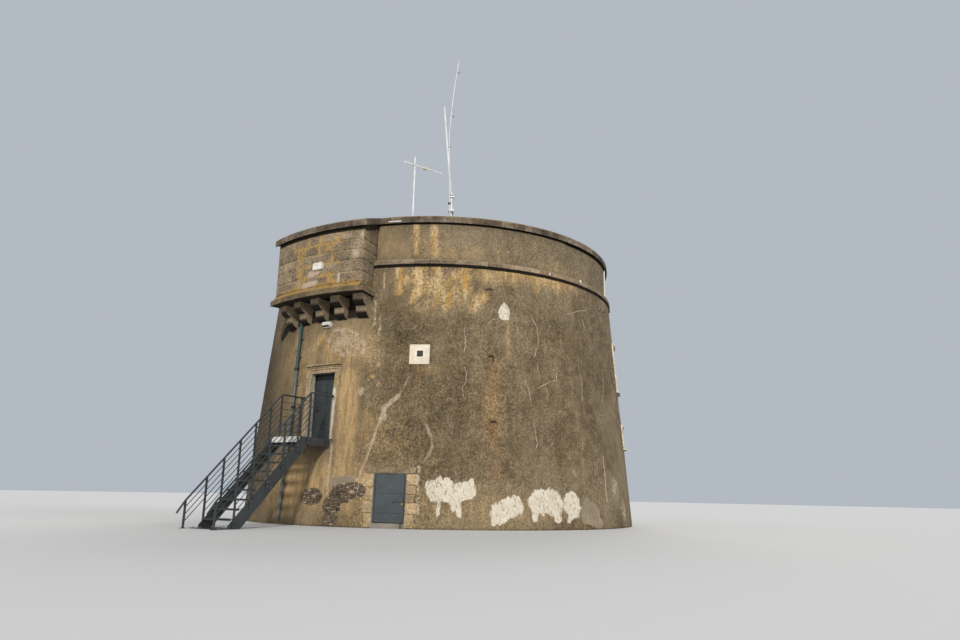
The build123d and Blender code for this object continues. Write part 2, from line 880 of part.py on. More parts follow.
pipe_points = [pipe_point(azimuth, z) for azimuth, z in pipe_route]
downpipe = None
for start, end in zip(pipe_points, pipe_points[1:]):
    length = rod(start, end, pipe_radius)
    downpipe = length if downpipe is None else downpipe + length
for azimuth, z in pipe_route:
    centre = pipe_point(azimuth, z)
    half_collar = Vector(0, 0, collar_length / 2)
    downpipe += rod(centre - half_collar, centre + half_collar, collar_radius)
    downpipe += radial_box(azimuth, -collar_radius / 2, collar_radius / 2, drum_radius(z) - pipe_pin_depth,
                           drum_radius(z) + pipe_standoff, z - collar_length / 4,
                           z + collar_length / 4)
save("downpipe", downpipe - drum)


def wall_plate(azimuth, radius, z, tilt, width, depth, height):
    # A flat box fixed to the wall, leaning back with it.
    box = Box(width, depth, height, align=(Align.CENTER, Align.MAX, Align.CENTER))
    return Rot(0, 0, azimuth) * Pos(0, -radius - seat_gap, z) * Rot(-tilt, 0, 0) * box


save("sign_panel", wall_plate(sign_azimuth, drum_radius(sign_height), sign_height, batter_angle,
                              sign_size, sign_thickness, sign_size))
save("wall_lights",
     wall_plate(lamp_azimuth, drum_radius(lamp_height), lamp_height, batter_angle, *lamp_size),
     wall_plate(wall_box_azimuth, bartizan_radius, wall_box_height, 0, *wall_box_size))


# Aerials: the whips stand on the old gun pivot, the other aerial on the gun platform
def footed_pole(x, y, foot, radius, top):
    pole = Cylinder(radius, top - foot, align=(Align.CENTER, Align.CENTER, Align.MIN))
    plate = Box(base_plate_size, base_plate_size, base_plate_thickness,
                align=(Align.CENTER, Align.CENTER, Align.MIN))
    return Pos(x, y, foot) * (pole + plate)


def aerial_point(offset, depth, z):
    turn = radians(aerial_plane_turn)
    return Vector(offset * cos(turn) - depth * sin(turn), offset * sin(turn) + depth * cos(turn), z)


def bent_whip(points, depth, radius):
    knots = [aerial_point(offset, depth, whip_pole_top + rise) for offset, rise in points]
    whip = rod(knots[0], knots[1], radius)
    for start, end in zip(knots[1:], knots[2:]):
        whip += rod(start, end, radius, radius / 2)
    return whip


mast_foot = aerial_point(whip_pole_offset, 0, drum_height + pivot_height)
whip_mast = footed_pole(mast_foot.X, mast_foot.Y, mast_foot.Z, whip_pole_radius, whip_pole_top)
clamp = Rot(0, 0, aerial_plane_turn) * Box(clamp_width, 2 * whip_spacing, clamp_height)
for level in clamp_levels:
    whip_mast += Pos(mast_foot.X, mast_foot.Y, whip_pole_top + level) * clamp
save("aerial_mast", whip_mast)
ferrule_offset, ferrule_rise = thick_whip[1]
ferrule_centre = aerial_point(ferrule_offset, whip_spacing, whip_pole_top + ferrule_rise)
ferrule_half = Vector(0, 0, ferrule_length / 2)
thick = bent_whip(thick_whip, whip_spacing, thick_whip_radius)
thick += rod(ferrule_centre - ferrule_half, ferrule_centre + ferrule_half, ferrule_radius)
thin = bent_whip(thin_whip, -whip_spacing, thin_whip_radius)
save("whip_aerials", thick - whip_mast, thin - whip_mast)

yagi_x, yagi_y = yagi_position
boom_length = yagi_boom_back + yagi_boom_front
boom_middle = (yagi_boom_front - yagi_boom_back) / 2
boom = Pos(boom_middle, 0, 0) * Box(boom_length, yagi_boom_size, yagi_boom_size)
for index in range(yagi_elements):
    along = -yagi_boom_back + boom_length * (index + 0.5) / yagi_elements
    boom += Pos(along, 0, 0) * Box(yagi_element_size, yagi_element_length, yagi_element_size)
yagi = footed_pole(yagi_x, yagi_y, drum_height, yagi_pole_radius, yagi_pole_top)
yagi += Pos(yagi_x, yagi_y, yagi_boom_height) * Rot(0, 0, yagi_boom_direction) * boom
save("yagi_aerial", yagi)
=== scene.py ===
"""Looks of the martello tower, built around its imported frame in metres.

The axis of the tower is the Z axis and the entrance faces -Y. An azimuth is an angle in
degrees round the axis, 0 at the entrance and growing towards +X.
"""

import logging
import math
import random
from dataclasses import dataclass
from enum import Enum
from typing import Iterable, Optional, Sequence, Union

import bmesh
import bpy
import numpy as np
from mathutils import Matrix, Vector, noise


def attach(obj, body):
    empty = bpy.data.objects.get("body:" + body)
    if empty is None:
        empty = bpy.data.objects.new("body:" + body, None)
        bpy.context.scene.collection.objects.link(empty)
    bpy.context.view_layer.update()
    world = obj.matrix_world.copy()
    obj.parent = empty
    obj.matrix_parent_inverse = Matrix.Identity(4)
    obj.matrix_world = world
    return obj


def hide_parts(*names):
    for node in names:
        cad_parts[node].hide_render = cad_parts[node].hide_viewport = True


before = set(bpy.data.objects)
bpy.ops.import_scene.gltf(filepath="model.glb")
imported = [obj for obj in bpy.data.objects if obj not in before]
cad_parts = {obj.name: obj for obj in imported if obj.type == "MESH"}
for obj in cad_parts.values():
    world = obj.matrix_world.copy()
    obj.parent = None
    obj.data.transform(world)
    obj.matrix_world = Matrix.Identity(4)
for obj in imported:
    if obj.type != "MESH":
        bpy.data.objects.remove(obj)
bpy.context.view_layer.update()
log = logging.getLogger("tower")

Socket = bpy.types.NodeSocket
Material = bpy.types.Material
Piece = bpy.types.Object
Shape = bmesh.types.BMesh
Value = Union[Socket, float, int, tuple]
Pair = tuple[float, float]
Point = tuple[float, float, float]
Colour = tuple[float, float, float]
MATERIALS: dict[str, Material] = {}


class Body(Enum):
    """The bodies that pieces ride on."""

    TOWER = "tower"
    ENTRANCE_DOOR = "entrance_door"
    GROUND_DOOR = "ground_door"


@dataclass(frozen=True)
class Tower:
    """The sizes that the sub-assemblies share, in metres and degrees."""

    base_radius: float = 6.11
    batter: float = 0.083
    drum_height: float = 6.897
    string_top: float = 7.087
    string_radius: float = 5.5826
    parapet_radius: float = 5.4396
    parapet_top: float = 8.163
    coping_reach: float = 5.5146
    head_slope: float = 0.378
    bartizan_azimuth: float = -2.4
    bartizan_half: float = 15.4
    bartizan_radius: float = 6.2516
    sole_top: float = 6.3

    def radius(self, height: float) -> float:
        """Radius of the drum's face at a height."""
        return self.base_radius - self.batter * height

    def bed(self, radius: float) -> float:
        """Height of the coping's sloping bed at a radius."""
        return self.parapet_top + self.head_slope * (self.coping_reach - radius)

    def cheek(self, side: int) -> float:
        """Azimuth of the bartizan's left cheek, -1, or right cheek, 1."""
        return self.bartizan_azimuth + side * self.bartizan_half

    def on_ring(self, azimuth: float, radius: float, height: float) -> Vector:
        """A point at a radius and a height."""
        turn = math.radians(azimuth)
        return Vector((math.sin(turn) * radius, -math.cos(turn) * radius, height))

    def outward(self, azimuth: float) -> Vector:
        """Level unit vector that points away from the axis at an azimuth."""
        return self.on_ring(azimuth, 1.0, 0.0)

    def on_drum(self, azimuth: float, height: float, proud: float = 0.0) -> Vector:
        """A point on the drum's face, or standing proud of it."""
        return self.on_ring(azimuth, self.radius(height) + proud, height)


SHAPE = Tower()


class Tree:
    """A node tree, with short calls for the nodes that are used again and again."""

    def __init__(self, tree: bpy.types.NodeTree) -> None:
        """Takes the tree that the nodes go in."""
        self.tree = tree

    def node(self, kind: str, feeds: Optional[dict] = None, **settings: object) -> bpy.types.Node:
        """Adds a node.

        Args:
            kind: The node's type.
            feeds: What its inputs get, by name or number.
            settings: Its properties.

        Returns:
            The node.
        """
        made = self.tree.nodes.new(kind)
        for key, value in settings.items():
            setattr(made, key, value)
        for key, value in (feeds or {}).items():
            self.feed(made.inputs[key], value)
        return made

    def feed(self, socket: Socket, value: Value) -> None:
        """Links a socket to another, or sets its own value.

        Args:
            socket: The input.
            value: What it gets. A colour of three parts becomes opaque.
        """
        if isinstance(value, Socket):
            self.tree.links.new(value, socket)
        elif isinstance(value, tuple) and len(value) == 3 and len(socket.default_value) == 4:
            socket.default_value = (*value, 1.0)
        else:
            socket.default_value = value

    def math(self, operation: str, first: Value, second: Value = 0.0,
             clamp: bool = False) -> Socket:
        """One arithmetic step, held between 0 and 1 where clamp is set."""
        return self.node("ShaderNodeMath", {0: first, 1: second}, operation=operation,
                         use_clamp=clamp).outputs[0]

    def times(self, first: Value, second: Value, clamp: bool = False) -> Socket:
        """Product of two values."""
        return self.math("MULTIPLY", first, second, clamp)

    def plus(self, first: Value, second: Value) -> Socket:
        """Sum of two values."""
        return self.math("ADD", first, second)

    def minus(self, first: Value, second: Value) -> Socket:
        """First value less the second."""
        return self.math("SUBTRACT", first, second)

    def scaled(self, vector: Value, gain: Value) -> Socket:
        """A vector or a colour times a value."""
        return self.node("ShaderNodeVectorMath", {0: vector, "Scale": gain},
                         operation="SCALE").outputs[0]

    def parts(self, vector: Value) -> Sequence[Socket]:
        """The X, Y and Z of a vector."""
        return self.node("ShaderNodeSeparateXYZ", {0: vector}).outputs

    def vector(self, x: Value = 0.0, y: Value = 0.0, z: Value = 0.0) -> Socket:
        """A vector from its parts."""
        return self.node("ShaderNodeCombineXYZ", {0: x, 1: y, 2: z}).outputs[0]


class Shade(Tree):
    """A material's tree and the colour that its layers have made so far."""

    def __init__(self, name: str, colour: Colour) -> None:
        """Starts the tree of a material.

        Args:
            name: Name of the material.
            colour: The colour under all layers.
        """
        self.material = bpy.data.materials.new(name)
        self.material.use_nodes = True
        super().__init__(self.material.node_tree)
        self.tree.nodes.clear()
        self.colour: Value = colour
        self.position = self.node("ShaderNodeTexCoord").outputs["Object"]

    def stretch(self, rise: float, shift: Point = (0.0, 0.0, 0.0)) -> Socket:
        """The position with its height scaled, and shifted."""
        return self.node("ShaderNodeMapping", {
            "Vector": self.position, "Scale": (1.0, 1.0, rise), "Location": shift}).outputs[0]

    def noise(self, scale: float, detail: float = 4.0, rough: float = 0.55,
              vector: Optional[Value] = None, warp: float = 0.0) -> Socket:
        """Cloudy noise between 0 and 1.

        Args:
            scale: Clouds per metre.
            detail: How many finer layers it has.
            rough: Weight of the finer layers.
            vector: Coordinates, the object's own if left out.
            warp: Distortion.

        Returns:
            The value.
        """
        return self.node("ShaderNodeTexNoise", {
            "Vector": self.position if vector is None else vector, "Scale": scale,
            "Detail": detail, "Roughness": rough, "Distortion": warp}).outputs["Fac"]

    def cells(self, scale: float, vector: Optional[Value] = None, feature: str = "F1",
              output: str = "Distance") -> Socket:
        """Cell pattern.

        Args:
            scale: Cells per metre.
            vector: Coordinates, the object's own if left out.
            feature: Blender's name of the feature.
            output: Which output is read.

        Returns:
            The value or colour.
        """
        return self.node("ShaderNodeTexVoronoi", {
            "Vector": self.position if vector is None else vector, "Scale": scale},
            feature=feature).outputs[output]

    def fade(self, value: Value, low: float, high: float, start: float = 0.0,
             end: float = 1.0) -> Socket:
        """Smooth step of a value.

        Args:
            value: What is read.
            low: Where the step starts.
            high: Where the step ends.
            start: Result at low.
            end: Result at high.

        Returns:
            The result.
        """
        return self.node("ShaderNodeMapRange", {
            "Value": value, "From Min": low, "From Max": high, "To Min": start, "To Max": end},
            interpolation_type="SMOOTHSTEP").outputs[0]

    def blend(self, share: Value, first: Value, second: Value, mode: str = "MIX") -> Socket:
        """Mixes two colours.

        Args:
            share: Weight of the second colour.
            first: The first colour.
            second: The second colour.
            mode: Blender's name of the blend.

        Returns:
            The colour.
        """
        return self.node("ShaderNodeMix", {"Factor": share, 6: first, 7: second},
                         data_type="RGBA", blend_type=mode, clamp_factor=True).outputs[2]

    def lay(self, share: Value, colour: Value) -> None:
        """Lays a colour over the layers so far."""
        self.colour = self.blend(share, self.colour, colour)

    def gain(self, value: Value) -> None:
        """Multiplies the layers so far by a value."""
        self.colour = self.scaled(self.colour, value)

    def split(self, colour: Value) -> Sequence[Socket]:
        """The red, green and blue of a colour."""
        return self.node("ShaderNodeSeparateColor", {0: colour}).outputs

    def mask(self, name: str) -> Socket:
        """A number that the mesh carries on its points."""
        return self.node("ShaderNodeAttribute", attribute_name=name).outputs["Fac"]

    def relief(self, height: Value, depth: float, below: Optional[Socket] = None) -> Socket:
        """Turns a height into a normal.

        Args:
            height: The height, from 0 to 1.
            depth: What 1 stands for, in metres.
            below: A normal that this one is laid over.

        Returns:
            The normal.
        """
        feeds = {"Strength": 1.0, "Distance": depth, "Height": height}
        if below is not None:
            feeds["Normal"] = below
        return self.node("ShaderNodeBump", feeds).outputs[0]

    def finish(self, roughness: Value, normal: Optional[Socket] = None, specular: float = 0.3,
               metallic: float = 0.0) -> Material:
        """Ends the tree in a surface.

        Args:
            roughness: Roughness.
            normal: Normal of the surface.
            specular: Specular level.
            metallic: Metalness.

        Returns:
            The material.
        """
        feeds = {"Base Color": self.colour, "Roughness": roughness, "Metallic": metallic,
                 "Specular IOR Level": specular}
        if normal is not None:
            feeds["Normal"] = normal
        surface = self.node("ShaderNodeBsdfPrincipled", feeds)
        self.node("ShaderNodeOutputMaterial", {"Surface": surface.outputs[0]})
        return self.material


class Growth(Tree):
    """A Geometry Nodes tree with named inputs, run once on an object that becomes a plain mesh."""

    def __init__(self, name: str) -> None:
        """Starts a tree with a geometry going in and coming out.

        Args:
            name: Name of the tree.
        """
        super().__init__(bpy.data.node_groups.new(name, "GeometryNodeTree"))
        for way in ("INPUT", "OUTPUT"):
            self.tree.interface.new_socket("Geometry", in_out=way,
                                           socket_type="NodeSocketGeometry")
        self.start = self.node("NodeGroupInput")
        self.end = self.node("NodeGroupOutput")
        self.keys: dict[str, str] = {}

    def input(self, name: str, kind: str = "NodeSocketFloat") -> Socket:
        """Adds a named input.

        Args:
            name: Its name.
            kind: Blender's name of the socket type.

        Returns:
            The socket inside the tree.
        """
        made = self.tree.interface.new_socket(name, in_out="INPUT", socket_type=kind)
        self.keys[name] = made.identifier
        return self.start.outputs[name]

    def stored(self, name: str, kind: str = "FLOAT_VECTOR") -> Socket:
        """A vector or number that the points carry."""
        return self.node("GeometryNodeInputNamedAttribute", {"Name": name},
                         data_type=kind).outputs["Attribute"]

    def place(self) -> Sequence[Socket]:
        """The X, Y and Z of each point's position."""
        return self.parts(self.node("GeometryNodeInputPosition").outputs[0])

    def moved(self, geometry: Socket, **feeds: Socket) -> Socket:
        """A geometry with a new Position or an Offset."""
        return self.node("GeometryNodeSetPosition", {"Geometry": geometry, **feeds}).outputs[0]

    def laid(self, instance: Socket, rotation: Socket, scale: Socket) -> Socket:
        """A shape laid on each point, turned and scaled."""
        return self.node("GeometryNodeInstanceOnPoints", {
            "Points": self.start.outputs[0], "Instance": instance, "Rotation": rotation,
            "Scale": scale}).outputs[0]

    def wrap(self, geometry: Socket, radius: Value, batter: Value) -> Socket:
        """Bends a flat layout round the axis: X runs along the wall, -Y stands proud of it.

        Args:
            geometry: The flat layout.
            radius: Radius of the wall at the ground.
            batter: How much the radius shrinks for each metre of height.

        Returns:
            The bent geometry.
        """
        flat = self.place()
        reach = self.minus(self.minus(radius, self.times(batter, flat["Z"])), flat["Y"])
        turn = self.math("DIVIDE", flat["X"], radius)
        across, back = (self.times(reach, self.math(kind, turn)) for kind in ("SINE", "COSINE"))
        return self.moved(geometry, Position=self.vector(
            across, self.times(back, -1.0), flat["Z"]))

    def close(self, geometry: Socket, smooth: bool) -> None:
        """Ends the tree with Realize Instances and Set Material.

        Args:
            geometry: The result so far.
            smooth: Whether the faces shade smoothly.
        """
        realised = self.node("GeometryNodeRealizeInstances", {0: geometry}).outputs[0]
        shaded = self.node("GeometryNodeSetShadeSmooth", {
            "Geometry": realised, "Shade Smooth": smooth}).outputs[0]
        dressed = self.node("GeometryNodeSetMaterial", {
            "Geometry": shaded, "Material": self.input("Finish", "NodeSocketMaterial")})
        self.feed(self.end.inputs[0], dressed.outputs[0])

    def grow(self, piece: Piece, finish: str, **values: float) -> Piece:
        """Runs the tree on an object and keeps the result as its plain mesh.

        Args:
            piece: The object that carries the points.
            finish: Name of its finish.
            values: The inputs by name.

        Returns:
            The object.
        """
        modifier = piece.modifiers.new("growth", "NODES")
        modifier.node_group = self.tree
        for name, value in {"Finish": MATERIALS[finish], **values}.items():
            modifier[self.keys[name]] = value
        return coated(plain(piece), finish)


def link(name: str, data: bpy.types.ID) -> Piece:
    """Puts a mesh, light or camera in the scene as an object at the origin.

    Args:
        name: Name of the piece.
        data: What it shows, already in place.

    Returns:
        The object.
    """
    made = bpy.data.objects.new(name, data)
    bpy.context.scene.collection.objects.link(made)
    return made


def solid(name: str, vertices: Sequence, faces: Sequence, smooth: bool = False) -> Piece:
    """Makes an object from points and faces.

    Args:
        name: Name of the piece.
        vertices: The points, in metres.
        faces: Point numbers of each face.
        smooth: Whether the faces shade smoothly.

    Returns:
        The object.
    """
    mesh = bpy.data.meshes.new(name)
    mesh.from_pydata(vertices, [], faces)
    if smooth:
        mesh.polygons.foreach_set("use_smooth", [True] * len(mesh.polygons))
    return link(name, mesh)


def from_bmesh(name: str, shape: Shape) -> Piece:
    """Makes an object from a bmesh and frees it.

    Args:
        name: Name of the piece.
        shape: Its closed bodies.

    Returns:
        The object.
    """
    bmesh.ops.recalc_face_normals(shape, faces=shape.faces)
    mesh = bpy.data.meshes.new(name)
    shape.to_mesh(mesh)
    shape.free()
    return link(name, mesh)


def coated(piece: Piece, finish: str) -> Piece:
    """Gives a piece its only finish.

    Args:
        piece: The object.
        finish: Name of the finish.

    Returns:
        The object.
    """
    piece.data.materials.clear()
    piece.data.materials.append(MATERIALS[finish])
    return piece


def plain(piece: Piece) -> Piece:
    """Turns an object with modifiers into a plain mesh.

    Args:
        piece: The object.

    Returns:
        The object, with the result as its mesh and no modifiers.
    """
    bpy.context.view_layer.update()
    graph = bpy.context.evaluated_depsgraph_get()
    mesh = bpy.data.meshes.new_from_object(
        piece.evaluated_get(graph), preserve_all_data_layers=True, depsgraph=graph)
    piece.modifiers.clear()
    piece.data = mesh
    mesh.name = piece.name
    return piece


def bevelled(piece: Piece, width: float, segments: int) -> Piece:
    """Rounds the sharp edges of a piece.

    Args:
        piece: The object.
        width: Width of the bevel.
        segments: Faces across it.

    Returns:
        The object.
    """
    made = piece.modifiers.new("edges", "BEVEL")
    made.width, made.segments, made.harden_normals = width, segments, False
    made.limit_method, made.angle_limit = "ANGLE", math.radians(35.0)
    return plain(piece)


def bridge(shape: Shape, rings: Sequence[list]) -> None:
    """Joins rings of points into a closed body.

    Args:
        shape: The bmesh.
        rings: Its rings, each with as many points.
    """
    for first, second in zip(rings, rings[1:]):
        for index in range(len(first)):
            after = (index + 1) % len(first)
            shape.faces.new((first[index], first[after], second[after], second[index]))
    shape.faces.new(rings[0][::-1])
    shape.faces.new(rings[-1])


def seat(piece: Piece, body: Body = Body.TOWER, replaced: tuple[str, ...] = ()) -> None:
    """Hands a finished piece over to the frame.

    Args:
        piece: The object.
        body: The body that it rides on.
        replaced: CAD nodes that it stands for.
    """
    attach(piece, body.value)
    if replaced:
        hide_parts(*replaced)
    log.info("%s on %s, %d faces", piece.name, body.value, len(piece.data.polygons))


def carry(piece: Piece, name: str, values: Iterable, kind: str = "FLOAT") -> None:
    """Stores a number or a vector on each point of a piece.

    Args:
        piece: The object.
        name: Name of the attribute.
        values: What each point gets.
        kind: FLOAT or FLOAT_VECTOR.
    """
    made = piece.data.attributes.new(name, kind, "POINT")
    flat = np.array(list(values), np.float32).ravel()
    made.data.foreach_set("value" if kind == "FLOAT" else "vector", flat)


def steps(start: float, end: float, size: float) -> list[float]:
    """Even steps from a start to an end, both included, about a size apart."""
    count = max(1, round(abs(end - start) / size))
    return [start + (end - start) * index / count for index in range(count + 1)]


class Bench:
    """A bmesh under work: places are x along the wall, out from it and z up, from an origin."""

    def __init__(self, azimuth: float = 0.0, origin: Iterable = (0, 0, 0)) -> None:
        """Starts an empty bmesh with the bench turned to an azimuth."""
        self.shape = bmesh.new()
        self.at(azimuth, origin)

    def at(self, azimuth: float, origin: Iterable, tilt: float = 0.0) -> "Bench":
        """Turns the bench and moves its origin.

        Args:
            azimuth: Where it faces.
            origin: Where its places count from.
            tilt: Lean about its x, in degrees.

        Returns:
            The bench.
        """
        turn, lean = math.radians(azimuth), math.radians(tilt)
        self.turn = Matrix.Rotation(turn, 3, "Z") @ Matrix.Rotation(lean, 3, "X")
        self.origin = Vector(origin)
        return self

    def spot(self, x: float, out: float, z: float) -> Vector:
        """The point of a place."""
        return self.origin + self.turn @ Vector((x, -out, z))

    def box(self, place: Point, size: Point) -> None:
        """Adds a box.

        Args:
            place: Its middle.
            size: Its full size along x, out and z.
        """
        matrix = Matrix.Translation(self.spot(*place)) @ self.turn.to_4x4()
        bmesh.ops.create_cube(self.shape, size=1.0, matrix=matrix @ Matrix.Diagonal((*size, 1.0)))

    def rod(self, start: Point, end: Point, radius: float, sides: int = 16,
            end_radius: Optional[float] = None) -> None:
        """Adds a round bar.

        Args:
            start: Middle of one end.
            end: Middle of the other.
            radius: Radius at the start.
            sides: Faces round it.
            end_radius: Radius at the end, the same as radius if left out.
        """
        low, high = self.spot(*start), self.spot(*end)
        turn = (high - low).to_track_quat("Z", "Y").to_matrix().to_4x4()
        bmesh.ops.create_cone(
            self.shape, cap_ends=True, segments=sides, radius1=radius,
            radius2=radius if end_radius is None else end_radius, depth=(high - low).length,
            matrix=Matrix.Translation((low + high) / 2) @ turn)

    def upright(self, x: float, out: float, low: float, high: float, radius: float,
                sides: int = 16) -> None:
        """Adds an upright round bar."""
        self.rod((x, out, low), (x, out, high), radius, sides)

    def wire(self, path: Sequence[Point], radius: float, sides: int) -> None:
        """Adds round bars along a path."""
        for first, second in zip(path, path[1:]):
            self.rod(first, second, radius, sides)

    def cut(self, name: str, finish: str, slot: str, bevel: tuple = (), body: Body = Body.TOWER,
            replaced: tuple[str, ...] = ()) -> None:
        """Makes the finished piece and hands it over.

        Args:
            name: Name of the piece.
            finish: Name of its finish.
            slot: Not used.
            bevel: Width and segments of its rounded edges.
            body: The body that it rides on.
            replaced: CAD nodes that it stands for.
        """
        made = coated(from_bmesh(name, self.shape), finish)
        seat(bevelled(made, *bevel) if bevel else made, body, replaced)
        self.shape = bmesh.new()


def span(azimuths: np.ndarray, azimuth: float) -> np.ndarray:
    """Angle from an azimuth to each point in radians, the short way round."""
    return np.radians((azimuths - azimuth + 180.0) % 360.0 - 180.0)


@dataclass(frozen=True)
class Patch:
    """A soft oval mark on a wall: half-widths in metres, lean in degrees."""

    azimuth: float
    height: float
    wide: float
    tall: float
    strength: float = 1.0
    lean: float = 0.0

    def value(self, azimuths: np.ndarray, heights: np.ndarray, radius: float) -> np.ndarray:
        """Strength of the mark on each point, full at its middle and 0 at its rim.

        Args:
            azimuths: Azimuth of each point.
            heights: Height of each point.
            radius: Radius of the wall.

        Returns:
            The strengths.
        """
        across, up = span(azimuths, self.azimuth) * radius, heights - self.height
        cosine, sine = math.cos(math.radians(self.lean)), math.sin(math.radians(self.lean))
        first = (across * cosine + up * sine) / self.wide
        second = (up * cosine - across * sine) / self.tall
        return np.clip(1.0 - np.hypot(first, second), 0.0, 1.0) * self.strength


@dataclass(frozen=True)
class Streak:
    """A mark along a line of azimuths and heights, with its half-width in metres."""

    route: tuple[Pair, ...]
    wide: float
    strength: float = 1.0

    def value(self, azimuths: np.ndarray, heights: np.ndarray, radius: float) -> np.ndarray:
        """Strength of the mark on each point, full on the line and 0 at its rim.

        Args:
            azimuths: Azimuth of each point.
            heights: Height of each point.
            radius: Radius of the wall.

        Returns:
            The strengths.
        """
        best = np.full(azimuths.shape, 1e9)
        for (turn, level), (end_turn, end_level) in zip(self.route, self.route[1:]):
            run, rise = math.radians(end_turn - turn) * radius, end_level - level
            across, up = span(azimuths, turn) * radius, heights - level
            share = (across * run + up * rise) / max(run ** 2 + rise ** 2, 1e-9)
            share = np.clip(share, 0.0, 1.0)
            best = np.minimum(best, np.hypot(across - share * run, up - share * rise))
        return np.clip(1.0 - best / self.wide, 0.0, 1.0) * self.strength


@dataclass(frozen=True)
class Weather:
    """The marks of one wall by kind."""

    radius: float
    marks: dict[str, tuple[Union[Patch, Streak], ...]]

    def stamp(self, piece: Piece) -> None:
        """Stores the strongest mark of every kind on each point of a piece.

        Args:
            piece: The object.
        """
        places = np.empty(len(piece.data.vertices) * 3)
        piece.data.vertices.foreach_get("co", places)
        x, y, heights = places.reshape((-1, 3)).T
        azimuths = np.degrees(np.arctan2(x, -y))
        for kind in DRUM_WEATHER.marks:
            result = np.zeros(azimuths.shape)
            for mark in self.marks.get(kind, ()):
                result = np.maximum(result, mark.value(azimuths, heights, self.radius))
            carry(piece, kind, result)


SCAR_LEFT = ((25.4, 3.81), (23.8, 3.44), (22.8, 3.28), (19.6, 3), (18.6, 2.66), (17.7, 2.42),
             (16.9, 2.09), (15.7, 1.67), (14.7, 1.42), (14.2, 1.07), (14.2, 0.76))
SCAR_RIGHT = ((23.8, 3.44), (26.8, 3.07), (30.2, 2.56), (31.7, 2.24), (32, 2.01), (31.2, 1.79),
              (30, 1.63))

